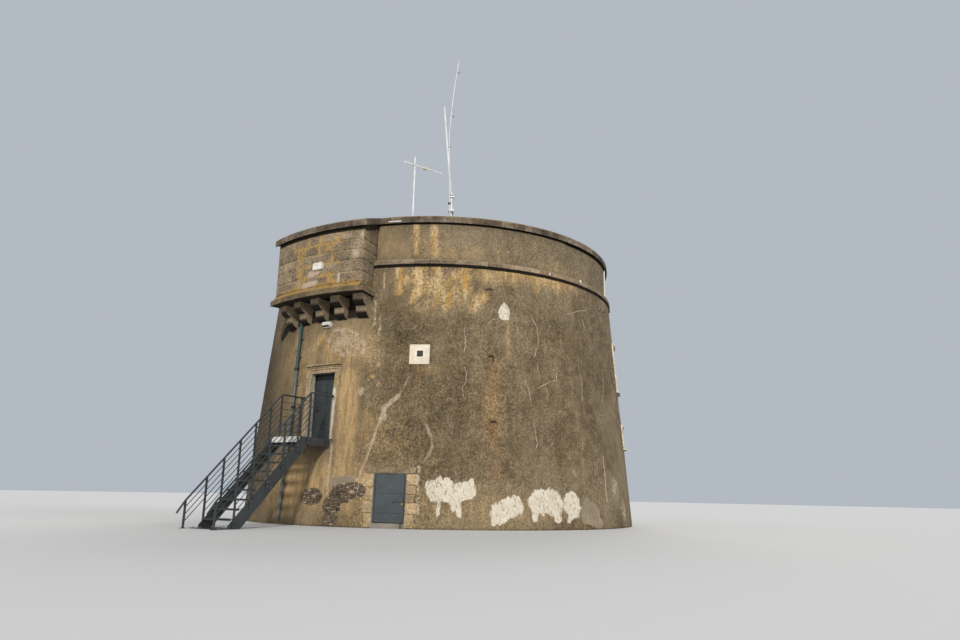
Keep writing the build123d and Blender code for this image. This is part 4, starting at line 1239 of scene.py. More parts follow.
@dataclass(frozen=True)
class WallCoat:
    """The uneven coat of render on a wall, as one closed shell with its openings cut."""

    name: str
    weather: Weather
    base_radius: float
    batter: float
    bottom: float
    top: float
    columns: tuple[Point, ...]
    row: float
    closed: bool = False
    openings: tuple[tuple[float, ...], ...] = ()

    def shell(self) -> Piece:
        """Builds the shell with its marks stored on its points.

        Returns:
            The object.
        """
        runs = [np.arange(start, end - 1e-6, step) for start, end, step in self.columns]
        if not self.closed:
            runs.append(self.columns[-1][1:2])
        azimuths = np.concatenate(runs)
        count, rows = len(azimuths), round((self.top - self.bottom) / self.row) + 1
        levels = [(height, True) for height in np.linspace(self.bottom, self.top, rows)]
        vertices = []
        for height, outer in (*levels, (self.bottom, False), (self.top, False)):
            face = self.base_radius - self.batter * height
            for azimuth in azimuths:
                proud = -0.02
                if outer:
                    proud = min(relief_at(azimuth, height, face), 0.0004 + 0.07 * max(height, 0.0))
                vertices.append(SHAPE.on_ring(azimuth, face + proud, height))
        inner_low, inner_high = rows * count, (rows + 1) * count
        last = inner_low - count
        faces = []
        for column in range(count if self.closed else count - 1):
            after = (column + 1) % count
            for low, high in (*((low, low + count) for low in range(0, last, count)),
                              (last, inner_high), (inner_low, 0)):
                faces.append((low + column, low + after, high + after, high + column))
            faces.append((inner_low + after, inner_low + column, inner_high + column,
                          inner_high + after))
        if not self.closed:
            for column, way in ((0, 1), (count - 1, -1)):
                ring = (inner_low + column, *range(column, inner_low, count), inner_high + column)
                faces.append(ring[::way])
        made = solid(self.name, vertices, faces, smooth=True)
        self.weather.stamp(made)
        return made

    def build(self, finish: str, slot: str) -> None:
        """Makes the finished coat.

        Args:
            finish: Name of its finish.
            slot: Not used.
        """
        made = self.shell()
        if self.openings:
            bench = Bench()
            for azimuth, half, sill, head in self.openings:
                bench.at(azimuth, SHAPE.on_ring(azimuth, self.base_radius, (sill + head) / 2))
                bench.box((0, 0, 0), (2 * half, 1.6, head - sill))
            cutter = from_bmesh("cutter", bench.shape)
            cut = made.modifiers.new("openings", "BOOLEAN")
            cut.operation, cut.solver, cut.object = "DIFFERENCE", "EXACT", cutter
            plain(made)
            bpy.data.objects.remove(cutter)
        seat(coated(made, finish))


@dataclass(frozen=True)
class Stage:
    """Pale floor, plain soft light and the camera at the photograph's angle."""

    eye: Point = (13.842, -20.292, 0.834)
    heading: float = -31.54
    pitch: float = 13.5
    roll: float = 1.105
    lens: float = 27.375
    reach: float = 160.0

    def backdrop(self) -> None:
        """Makes the world pale grey to the camera and soft to the light."""
        world = bpy.data.worlds.new("studio")
        bpy.context.scene.world = world
        world.use_nodes = True
        world.node_tree.nodes.clear()
        t = Tree(world.node_tree)
        rays = t.node("ShaderNodeLightPath").outputs
        seen = t.math("MAXIMUM", rays["Is Camera Ray"], rays["Is Glossy Ray"])
        seen = t.math("MAXIMUM", seen, rays["Is Transmission Ray"])
        light, shown = (
            t.node("ShaderNodeBackground", {"Color": colour, "Strength": strength}).outputs[0]
            for colour, strength in (((0.93, 0.96, 1.0), 0.42), ((0.45, 0.49, 0.54), 1.0)))
        mix = t.node("ShaderNodeMixShader", {0: seen, 1: light, 2: shown})
        t.node("ShaderNodeOutputWorld", {"Surface": mix.outputs[0]})

    def floor(self) -> None:
        """Lays the pale floor."""
        reach = self.reach
        corners = [(x * reach, y * reach, -0.002) for x, y in ((-1, -1), (1, -1), (1, 1), (-1, 1))]
        made = solid("floor", corners, [(0, 1, 2, 3)])
        made.data.materials.append(Shade("pale_floor", (0.72, 0.72, 0.71)).finish(0.95))

    def lights(self) -> None:
        """Hangs the key light behind the camera, a weak fill at the right and one at the back."""
        for name, azimuth, elevation, strength, angle, tint in (
            ("key", 27.0, 25.0, 1.85, 5.0, (1.0, 0.97, 0.92)),
            ("fill", 100.0, 22.0, 0.55, 40.0, (0.93, 0.96, 1.0)),
            ("back", 205.0, 35.0, 0.95, 30.0, (1.0, 0.98, 0.96)),
        ):
            data = bpy.data.lights.new(name, "SUN")
            data.energy, data.angle, data.color = strength, math.radians(angle), tint
            rise = math.radians(elevation)
            direction = SHAPE.on_ring(azimuth, math.cos(rise), math.sin(rise))
            lamp = link(name, data)
            lamp.rotation_mode = "QUATERNION"
            lamp.rotation_quaternion = direction.to_track_quat("Z", "Y")
            lamp.location = direction * 40

    def camera(self) -> None:
        """Sets up the camera at the photograph's place."""
        heading, pitch, roll = (math.radians(v) for v in (self.heading, self.pitch, self.roll))
        ahead = Vector((math.sin(heading) * math.cos(pitch), math.cos(heading) * math.cos(pitch),
                        math.sin(pitch)))
        right = Vector((math.cos(heading), -math.sin(heading), 0))
        up = right.cross(ahead)
        turn = Matrix((right * math.cos(roll) + up * math.sin(roll),
                       up * math.cos(roll) - right * math.sin(roll), -ahead)).transposed()
        data = bpy.data.cameras.new("camera")
        data.sensor_fit, data.sensor_width = "HORIZONTAL", 36.0
        data.lens, data.clip_end = self.lens, 500.0
        made = link("camera", data)
        made.matrix_world = Matrix.Translation(Vector(self.eye)) @ turn.to_4x4()
        bpy.context.scene.camera = made

    def build(self) -> None:
        """Sets up the whole stage."""
        self.backdrop()
        self.floor()
        self.lights()
        self.camera()
        bpy.context.scene.view_settings.view_transform = "Standard"


@dataclass(frozen=True)
class Drum:
    """The battered wall below the string course."""

    columns: tuple[Point, ...] = (
        (-80.0, -22.0, 0.6), (-22.0, 78.0, 0.34), (78.0, 100.0, 0.55), (100.0, 280.0, 1.25))
    openings: tuple[tuple[float, ...], ...] = (
        (0.0, 0.425, 2.175, 3.975), (22.1, 0.425, -0.05, 1.325), (110.0, 0.365, 4.145, 5.575),
        (110.0, 0.245, 2.375, 2.985))

    def build(self) -> None:
        """Builds the coat of render with the marks on it."""
        coat = WallCoat("drum_coat", DRUM_WEATHER, SHAPE.base_radius, SHAPE.batter, 0.0,
                        SHAPE.drum_height, self.columns, 0.062, True, self.openings)
        coat.build("drum_render", "rendered_wall")


@dataclass(frozen=True)
class Parapet:
    """The rendered parapet between the string course and the coping."""

    gap: float = 0.05
    row: float = 0.06

    def build(self) -> None:
        """Builds its coat of render."""
        start, end = SHAPE.cheek(1) + self.gap, SHAPE.cheek(-1) + 360.0 - self.gap
        radius = SHAPE.parapet_radius
        coat = WallCoat("parapet_coat", PARAPET_WEATHER, radius, 0.0, SHAPE.string_top,
                        SHAPE.bed(radius) - 0.002, ((start, 100.0, 0.5), (100.0, end, 1.1)),
                        self.row)
        coat.build("parapet_render", "rendered_parapet")


BARTIZAN_WEATHER = Weather(radius=6.25, marks={
    "lichen": (
        Patch(-6.9, 7.33, 0.24, 0.22, 1.8), Patch(-6.9, 6.85, 0.2, 0.36, 1.7),
        Patch(-6.5, 6.42, 0.3, 0.2, 1.6), Patch(3.2, 7.38, 0.22, 0.22, 1.7),
        Patch(4.2, 7.07, 0.09, 0.18, 1.2), Patch(3.9, 6.45, 0.17, 0.28, 1.9),
        Streak(((-12, 6.28), (-4, 6.31), (7, 6.31), (12.5, 6.3)), 0.13),
        Streak(((-10, 7.5), (-3.9, 7.5), (-0.2, 7.5), (5.9, 7.5)), 0.06, 1.5),
        Streak(((-10, 7.8), (-10, 7.5)), 0.06, 1.1), Streak(((-3.9, 7.8), (-3.9, 7.5)), 0.065, 1.6),
        Streak(((-0.2, 7.8), (-0.1, 7.2)), 0.065, 1.6),
        Streak(((5.9, 7.75), (5.9, 7.5)), 0.065, 1.4),
        Streak(((-6.7, 6.92), (-3, 6.94)), 0.08, 1.5),
        Streak(((-6.9, 6.6), (-3.6, 6.62)), 0.08, 1.5),
        Streak(((-0.5, 6.6), (5, 6.6)), 0.07, 1.4), Streak(((1.5, 6.92), (6, 6.92)), 0.06, 1.3),
        Patch(-12, 6.34, 0.5, 0.12, 0.8), Patch(9, 6.33, 0.5, 0.1, 0.9),
    ),
    "pale": (
        Streak(((-3.2, 6.66), (0, 6.69)), 0.075, 2.6),
        Streak(((-5.2, 6.35), (-0.8, 6.42)), 0.08, 2.8),
        Streak(((6.5, 6.57), (6.5, 6.34)), 0.04, 2.2), Patch(11, 7.1, 0.2, 0.22, 0.9),
        Patch(12.6, 7.6, 0.06, 0.16, 1.3), Patch(9.6, 7.62, 0.12, 0.14, 0.4),
        Streak(((-16, 6.9), (-12.6, 6.93)), 0.03, 0.5), Patch(-4.9, 6.85, 0.14, 0.05, 0.5),
    ),
    "dark": (
        Patch(-11, 6.45, 0.4, 0.14), Patch(-9.2, 7.32, 0.22, 0.16, 0.7),
        Patch(5.6, 7.35, 0.16, 0.14, 0.9), Patch(-5, 7.3, 0.5, 0.16, 0.4),
        Patch(1.5, 6.45, 0.4, 0.14, 0.6), Patch(8, 6.75, 0.4, 0.16, 0.4),
    ),
})

ENTRANCE_WEATHER = Weather(radius=5.85, marks={
    "pale": (Streak(((4.5, 2.15), (4.55, 2.9), (4.45, 3.45)), 0.1, 2.6),
             Patch(0.4, 4.03, 0.34, 0.06, 0.8), Patch(-4.6, 3.3, 0.06, 0.5, 0.35)),
    "dark": (Patch(-5, 2.3, 0.1, 0.3, 0.5), Patch(5.2, 2.3, 0.1, 0.3, 0.4)),
    "lichen": (Patch(4.7, 3.75, 0.12, 0.26, 1.2),),
})


@dataclass(frozen=True)
class Block:
    """One dressed stone: middle of its face, turn in degrees, width, height and tint."""

    place: Iterable
    turn: float
    width: float
    height: float
    tint: float


@dataclass(frozen=True)
class Masonry:
    """Dressed stones, grown from one point each, with pillowed and uneven faces."""

    name: str
    depth: float = 0.05
    joint: float = 0.012
    unevenness: float = 0.009
    rounding: float = 0.3
    radius: float = 0.0
    batter: float = 0.0

    def growth(self) -> Growth:
        """Builds the tree: a rounded stone on each point, bent round the wall if it has a radius.

        Returns:
            The tree.
        """
        g = Growth(self.name)
        rounding, unevenness = g.input("Rounding"), g.input("Unevenness")
        stone = g.node("GeometryNodeMeshCube", {
            "Size": (1.0, 1.0, 1.0), "Vertices X": 8, "Vertices Y": 2, "Vertices Z": 6}).outputs
        flat = g.place()
        spread, rims = [], []
        for axis in ("X", "Z"):
            size = g.times(g.math("ABSOLUTE", flat[axis]), 2.0)
            pushed = g.minus(1.0, g.math("POWER", g.minus(1.0, size), 1.9))
            spread.append(g.times(g.times(pushed, 0.5), g.math("SIGN", flat[axis])))
            rims.append(g.math("GREATER_THAN", size, 0.99))
        back = g.times(g.math("MAXIMUM", *rims), rounding)
        back = g.plus(flat["Y"], g.times(back, g.math("LESS_THAN", flat["Y"], 0.0)))
        shaped = g.moved(stone["Mesh"], Position=g.vector(spread[0], back, spread[1]))
        facing = g.node("FunctionNodeEulerToRotation", {0: g.stored("facing")}).outputs[0]
        laid = g.laid(shaped, facing, g.stored("size"))
        result = g.node("GeometryNodeRealizeInstances", {0: laid}).outputs[0]
        if self.radius:
            result = g.wrap(result, self.radius, self.batter)
        rough = g.node("ShaderNodeTexNoise", {"Scale": 5.5, "Detail": 3.0}).outputs["Fac"]
        push = g.times(g.times(g.minus(rough, 0.5), unevenness), 2.0)
        normal = g.node("GeometryNodeInputNormal").outputs[0]
        g.close(g.moved(result, Offset=g.scaled(normal, push)), True)
        return g

    def build(self, blocks: Sequence[Block], finish: str, weather: Weather, slot: str,
              replaced: tuple[str, ...] = ()) -> None:
        """Lays the stones.

        Args:
            blocks: The stones.
            finish: Name of their finish.
            weather: The marks on them.
            slot: Not used.
            replaced: CAD nodes that they stand for.
        """
        made = solid(self.name, [block.place for block in blocks], [])
        carry(made, "size", [(b.width - self.joint, self.depth, b.height - self.joint)
                             for b in blocks], "FLOAT_VECTOR")
        carry(made, "facing", [(0, 0, math.radians(b.turn)) for b in blocks], "FLOAT_VECTOR")
        carry(made, "tint", [b.tint for b in blocks])
        self.growth().grow(made, finish, Rounding=self.rounding, Unevenness=self.unevenness)
        weather.stamp(made)
        seat(made, Body.TOWER, replaced)


@dataclass(frozen=True)
class Bartizan:
    """The squared masonry of the bartizan and the mortar behind it."""

    courses: tuple[tuple[float, float, tuple[float, ...]], ...] = (
        (6.3, 6.59, (-13.7, -9.4, -6.5, 0.4, 4.1, 6.7, 10.4)),
        (6.59, 6.92, (-14.6, -10.6, -6.8, -4.4, 1.5, 6.3, 10.2)),
        (6.92, 7.21, (-13.2, -8.0, -3.2, 0.6, 4.2, 10.0)),
        (7.21, 7.5, (-14.4, -10.6, -6.7, 0.0, 2.6, 4.4, 7.0, 10.6)),
        (7.5, 7.868, (-13.6, -10.0, -3.9, -0.2, 5.9, 9.8)),
    )
    proud: float = 0.012
    seed: int = 11

    def front_blocks(self) -> list[Block]:
        """The stones of the curved front, laid flat: X runs along the wall.

        Returns:
            The stones.
        """
        dice = random.Random(self.seed)
        radius = SHAPE.bartizan_radius
        blocks = []
        for bottom, top, joints in self.courses:
            for left, right in zip((SHAPE.cheek(-1), *joints), (*joints, SHAPE.cheek(1))):
                middle = math.radians((left + right) / 2) * radius
                blocks.append(Block((middle, 0.025 - self.proud, (bottom + top) / 2), 0.0,
                                    math.radians(right - left) * radius, top - bottom,
                                    dice.uniform(0.72, 1.15)))
        return blocks

    def cheek_blocks(self) -> list[Block]:
        """The stones of the two flat cheeks.

        Returns:
            The stones.
        """
        dice = random.Random(self.seed + 1)
        inner, outer = SHAPE.parapet_radius + 0.004, SHAPE.bartizan_radius
        blocks = []
        for side in (-1, 1):
            azimuth = SHAPE.cheek(side)
            bench = Bench(azimuth)
            for level, (bottom, top, _) in enumerate(self.courses):
                low = SHAPE.sole_top if level == 0 else bottom
                near = inner if low >= 6.9 else SHAPE.radius(low) + 0.012
                middle = near + (outer - near) * (0.38 if level % 2 else 0.62)
                for first, last in ((near, middle), (middle, outer)):
                    head = SHAPE.bed(last) - 0.006
                    if level < 4:
                        head = min(top, head)
                    place = bench.spot(side * (self.proud - 0.025), (first + last) / 2,
                                       (low + head) / 2)
                    blocks.append(Block(place, azimuth + 90 * side, last - first, head - low,
                                        dice.uniform(0.62, 0.95)))
        return blocks

    def build(self) -> None:
        """Builds the mortar bed and the stones."""
        radius = SHAPE.bartizan_radius
        WallCoat("bartizan_mortar", BARTIZAN_WEATHER, radius - 0.001, 0.0, SHAPE.sole_top + 0.001,
                 SHAPE.bed(radius) - 0.003, ((SHAPE.cheek(-1), SHAPE.cheek(1), 0.4),), 0.04
                 ).build("bedding_mortar", "ashlar")
        Masonry("bartizan_ashlar", radius=radius).build(
            self.front_blocks(), "ashlar_granite", BARTIZAN_WEATHER, "ashlar")
        Masonry("bartizan_cheek_ashlar").build(
            self.cheek_blocks(), "ashlar_granite", BARTIZAN_WEATHER, "ashlar")


@dataclass(frozen=True)
class Run:
    """A moulding swept over the drum's face: profile of (distance out, proud) and stations.

    A station is a corner of the path at the opening's edge: (x, z) and the directions in which
    the profile's distance moves it, (dx, dz).
    """

    profile: tuple[Pair, ...]
    stations: Sequence[tuple[float, float, float, float]]

    def add(self, shape: Shape) -> None:
        """Adds the closed moulding to a bmesh.

        Args:
            shape: The bmesh.
        """
        rings = []
        for x, z, dx, dz in self.stations:
            ring = []
            for out, proud in self.profile:
                across, height = x + out * dx, z + out * dz
                reach = SHAPE.radius(height) + proud
                ring.append(shape.verts.new(
                    (across, -math.sqrt(reach ** 2 - across ** 2), height)))
            rings.append(ring)
        bridge(shape, rings)


@dataclass(frozen=True)
class Stud:
    """One rivet or bolt head: its foot, the direction that it points and its size factor."""

    place: Iterable
    away: Iterable
    scale: float = 1.0


@dataclass(frozen=True)
class Studs:
    """Domed rivets or six-sided bolt heads with a washer, grown from one point each."""

    name: str
    radius: float
    height: float
    bolt: bool = False

    def growth(self) -> Growth:
        """Builds the tree: a head on each point, turned along its stored direction.

        Returns:
            The tree.
        """
        g = Growth(self.name)
        radius, height = g.input("Radius"), g.input("Height")
        if self.bolt:
            joined = g.node("GeometryNodeJoinGeometry")
            for factor, sides, share, lift in ((1.35, 16, 0.25, 0.125), (0.85, 6, 0.85, 0.65)):
                head = g.node("GeometryNodeMeshCylinder", {
                    "Vertices": sides, "Radius": g.times(radius, factor),
                    "Depth": g.times(height, share)}, fill_type="NGON").outputs["Mesh"]
                raised = g.node("GeometryNodeTransform", {
                    "Geometry": head, "Translation": g.vector(z=g.times(height, lift))})
                g.feed(joined.inputs[0], raised.outputs[0])
            shape = joined.outputs[0]
        else:
            dome = g.node("GeometryNodeMeshUVSphere", {
                "Segments": 12, "Rings": 6, "Radius": radius}).outputs["Mesh"]
            squash = g.vector(1.0, 1.0, g.math("DIVIDE", height, radius))
            shape = g.node("GeometryNodeTransform", {
                "Geometry": dome, "Scale": squash}).outputs[0]
        turned = g.node("FunctionNodeAlignRotationToVector", {"Vector": g.stored("away")},
                        axis="Z").outputs[0]
        g.close(g.laid(shape, turned, g.stored("scale", "FLOAT")), not self.bolt)
        return g

    def build(self, studs: Sequence[Stud], finish: str, slot: str,
              body: Body = Body.TOWER) -> None:
        """Sets the heads.

        Args:
            studs: Where they are.
            finish: Name of their finish.
            slot: Not used.
            body: The body that they ride on.
        """
        made = solid(self.name, [stud.place for stud in studs], [])
        carry(made, "away", [stud.away for stud in studs], "FLOAT_VECTOR")
        carry(made, "scale", [stud.scale for stud in studs])
        self.growth().grow(made, finish, Radius=self.radius, Height=self.height)
        seat(made, body)


@dataclass(frozen=True)
class Entrance:
    """The raised doorway's moulded frame and the fittings of its steel door."""

    half: float = 0.42
    sill: float = 2.18
    head: float = 3.97
    door_face: float = 5.654775
    ear: float = 0.045
    ear_height: float = 0.26
    border: float = 0.155

    def mouldings(self) -> None:
        """The architrave with its raised border and ears, and the two-step cornice."""
        shape = bmesh.new()
        architrave = ((0.0, 0.002), (0.0, 0.026), (0.006, 0.03), (0.098, 0.03), (0.104, 0.046),
                      (0.112, 0.05), (0.148, 0.05), (0.155, 0.044), (0.155, 0.002))
        left = [(-self.half, z, -1.0, 0.0) for z in steps(self.sill, self.head - 0.06, 0.06)]
        top = [(x, self.head, 0.0, 1.0) for x in steps(-self.half + 0.06, self.half - 0.06, 0.06)]
        right = [(-x, z, -dx, dz) for x, z, dx, dz in left[::-1]]
        corners = [(side * self.half, self.head, side, 1.0) for side in (-1, 1)]
        Run(architrave, (*left, corners[0], *top, corners[1], *right)).add(shape)
        ear_bar = ((0.0, 0.003), (0.0, 0.046), (0.006, 0.05), (self.ear, 0.05), (self.ear, 0.003))
        base = self.head + self.border
        for side in (-1.0, 1.0):
            edge = side * (self.half + self.border - 0.001)
            Run(ear_bar, [(edge, z, side, 0.0) for z in steps(
                base - self.ear_height, base - 0.002, 0.065)]).add(shape)
        cornice = ((0.0, 0.003), (0.0, 0.062), (0.008, 0.07), (0.026, 0.07), (0.032, 0.05),
                   (0.046, 0.05), (0.052, 0.1), (0.06, 0.108), (0.088, 0.108), (0.094, 0.1),
                   (0.094, 0.003))
        reach = self.half + self.border + 0.058
        Run(cornice, [(x, base, 0.0, 1.0) for x in steps(-reach, reach, 0.06)]).add(shape)
        made = coated(from_bmesh("entrance_mouldings", shape), "moulded_stone")
        ENTRANCE_WEATHER.stamp(made)
        seat(made, Body.TOWER, ("entrance_surround",))

    def build(self) -> None:
        """Builds the mouldings, and the door's cover strips, lock case, knob, pull and rivets."""
        self.mouldings()
        bench = Bench(0.0, (0, 0.015 - self.door_face, self.sill))
        for z in (0.47, 1.29):
            bench.box((0, 0.003, z), (0.68, 0.006, 0.05))
        bench.box((0, 0.003, 0.88), (0.046, 0.006, 1.66))
        bench.rod((-0.3275, 0.034, 0.8533), (-0.3275, 0.048, 0.8533), 0.03, 24, 0.026)
        bench.rod((-0.3275, 0.048, 0.8533), (-0.3275, 0.084, 0.8533), 0.012)
        spots = [bench.spot(x, 0.0035, z) for z in (0.47, 1.29)
                 for x in (-0.3, -0.2, -0.1, 0.1, 0.2, 0.3)]
        spots += [bench.spot(x, 0.0005, z) for x in (-0.345, 0.345)
                  for z in steps(0.06, 1.68, 0.18)]
        body, paint, slot = Body.ENTRANCE_DOOR, "entrance_slate", "slate_paint"
        bench.cut("entrance_door_fittings", paint, slot, (0.0015, 2), body)
        Studs("entrance_door_rivets", 0.009, 0.005).build(
            [Stud(spot, (0.0, -1.0, 0.0)) for spot in spots], paint, slot, body)


@dataclass(frozen=True)
class GroundDoor:
    """The low door beside the stair: rivets, slide bolt, padlock and its dressed stones."""

    azimuth: float = 22.1
    half: float = 0.42
    head: float = 1.32
    lintel: float = 0.17
    skin: float = 0.005
    bolt_height: float = 0.65

    def ironwork(self) -> None:
        """The leaf's six plates with narrow seams, its rivets, slide bolt and padlock."""
        face = SHAPE.radius(self.head) - 0.03 + self.skin
        body, slot = Body.GROUND_DOOR, "slate_paint"
        bench = Bench(self.azimuth, SHAPE.on_ring(self.azimuth, face, 0.0))
        for low, high in ((0.136, 0.357), (0.363, 0.832), (0.838, 1.306)):
            for x in (-0.1855, 0.1855):
                bench.box((x, -self.skin / 2 - 0.001, (low + high) / 2),
                          (0.365, self.skin + 0.002, high - low))
        bench.cut("ground_door_plates", "door_slate", slot, (0.0012, 1), body)
        spots = [(x, z) for z in (0.17, 0.315, 0.4, 0.79, 0.88, 1.27)
                 for x in steps(-0.33, 0.33, 0.11)]
        spots += [(x, z) for x in (-0.345, -0.028, 0.028, 0.345)
                  for z in (0.24, 0.5, 0.6, 0.7, 0.98, 1.08, 1.18)]
        away = SHAPE.outward(self.azimuth)
        Studs("ground_door_rivets", 0.0095, 0.0055).build(
            [Stud(bench.spot(x, 0.0, z), away) for x, z in spots], "rivet_grey", slot, body)
        bench.at(self.azimuth, SHAPE.on_ring(self.azimuth, face, self.bolt_height))
        bench.rod((0.06, 0.014, 0.0), (0.366, 0.014, 0.0), 0.011)
        bench.rod((0.12, 0.014, 0.0), (0.12, 0.05, -0.04), 0.008, 12)
        for x in (0.09, 0.2, 0.3):
            bench.box((x, 0.01, 0.0), (0.028, 0.034, 0.05))
        turns = [math.radians(turn) for turn in range(0, 181, 30)]
        bench.wire([(0.34 + 0.02 * math.cos(turn), 0.04, 0.03 * math.sin(turn) - 0.035)
                    for turn in turns], 0.0045, 10)
        bench.cut("ground_door_bolt", "door_slate", slot, (0.001, 1), body)
        bench.box((0.34, 0.04, -0.067), (0.056, 0.026, 0.064))
        bench.cut("ground_door_padlock", "brass_old", slot, (0.006, 3), body)

    def stones(self) -> list[Block]:
        """Jamb stones and lintel, laid flat: X runs along the wall at the ground's radius.

        Returns:
            The stones.
        """
        dice = random.Random(5)
        middle = math.radians(self.azimuth) * SHAPE.base_radius
        stretch = SHAPE.base_radius / SHAPE.radius(0.7)
        blocks = []
        for side, rows in (
            (-1, ((0.002, 0.36, 0.2), (0.36, 0.66, 0.27), (0.66, 0.98, 0.2), (0.98, 1.318, 0.25))),
            (1, ((0.002, 0.34, 0.22), (0.34, 0.62, 0.3), (0.62, 0.82, 0.2), (0.82, 1.04, 0.26),
                 (1.04, 1.318, 0.31))),
        ):
            for low, high, width in rows:
                x = middle + side * (self.half + width / 2) * stretch
                blocks.append(Block((x, 0.016, (low + high) / 2), 0.0, width, high - low,
                                    dice.uniform(0.8, 1.2)))
        level = self.head + self.lintel / 2 + 0.004
        for left, right in ((-0.66, 0.5), (0.5, 0.66)):
            x = middle + (left + right) / 2 * 1.018
            blocks.append(Block((x, 0.016, level), 0.0, (right - left) * 1.018, self.lintel,
                                dice.uniform(0.62, 0.7)))
        return blocks

    def build(self) -> None:
        """Builds the door's ironwork and the stones round it."""
        self.ironwork()
        Masonry("ground_door_stones", joint=0.006, unevenness=0.005, rounding=0.12,
                radius=SHAPE.base_radius, batter=SHAPE.batter).build(
            self.stones(), "quoin_stone", DRUM_WEATHER, "tan_stone", ("ground_door_surround",))


@dataclass(frozen=True)
class Stair:
    """Bolts, cover plates, tread nosings and caps of the outside steel stair."""

    width_half: float = 0.5293
    sill: float = 2.18
    nosing: float = 6.97006
    going: float = 0.212
    riser: float = 0.218
    drop: float = 0.0717
    posts: tuple[float, ...] = (7.0642, 7.5042, 7.9442, 8.3842, 8.8242)
    corner: float = 6.7172
    wall_post: float = 6.0131
    last_post: float = 9.34006

    def line(self, out: float) -> float:
        """Height of the nosing line at a distance from the axis."""
        return self.sill - self.riser / self.going * (out - self.nosing)

    def bolts(self) -> list[Stud]:
        """Two bolts where each post crosses the side plate, and four in the foot plate.

        Returns:
            The bolts.
        """
        spots = []
        for out in self.posts:
            level = self.line(out) - self.drop
            if level > 0.26:
                spots += [(out, level - 0.06), (out, level - 0.17)]
        spots += [(out, z) for out in (self.wall_post, self.corner) for z in (2.03, 2.13)]
        heads = [Stud((side * self.width_half, -out, z), (side, 0.0, 0.0))
                 for side in (-1.0, 1.0) for out, z in spots]
        heads += [Stud((x, -out, 0.0098), (0.0, 0.0, 1.0), 1.5) for x in (-0.44, 0.44)
                  for out in (8.93, 9.14)]
        heads += [Stud((x, -self.nosing - 0.0198, z), (0.0, -1.0, 0.0), 0.7)
                  for x in (-0.43, -0.15, 0.15, 0.43) for z in (2.075, 2.145)]
        return heads

    def build(self) -> None:
        """Builds the bolts, the ribbed grip strips, and the collars, flanges, caps and plates."""
        Studs("stair_bolts", 0.013, 0.013, True).build(self.bolts(), "bolt_steel", "stair_paint")
        bench = Bench()
        for index in range(10):
            front = self.nosing + index * self.going - (0.016 if index else 0.024)
            for row in range(3):
                bench.box((0, front - row * 0.014, self.sill - index * self.riser + 0.0015),
                          (0.93, 0.007, 0.0035))
        bench.cut("stair_nosings", "grip_strip", "stair_paint")
        for side in (-1, 1):
            x = side * 0.5103
            bench.box((side * 0.4935, 5.985, 2.08), (0.008, 0.09, 0.19))
            bench.rod((x, 5.9405, 3.3), (x, 5.9305, 3.3), 0.045, 24)
            for out in (self.corner, *self.posts, self.last_post):
                top = self.line(out) + 0.86 if out > self.corner + 0.1 else 3.3
                bench.upright(x, out, top - 0.05, top - 0.012, 0.0255)
            bench.box((x, self.last_post, 0.006), (0.11, 0.11, 0.012))
        bench.cut("stair_plates", "stair_slate", "stair_paint", (0.0015, 1))


BAR_HOOK = ((-0.07, -0.02, 0.0), (-0.07, 0.035, 0.0), (0.0, 0.045, 0.012), (0.07, 0.035, 0.0),
            (0.07, -0.02, 0.0))
BENT_HOOK = ((-0.065, -0.02, 0.0), (-0.065, 0.03, 0.0), (0.05, 0.035, 0.005),
             (0.062, 0.035, -0.01), (0.062, 0.035, -0.13))
PIN = ((0.0, -0.02, 0.0), (0.0, 0.06, 0.0), (0.0, 0.07, 0.05))


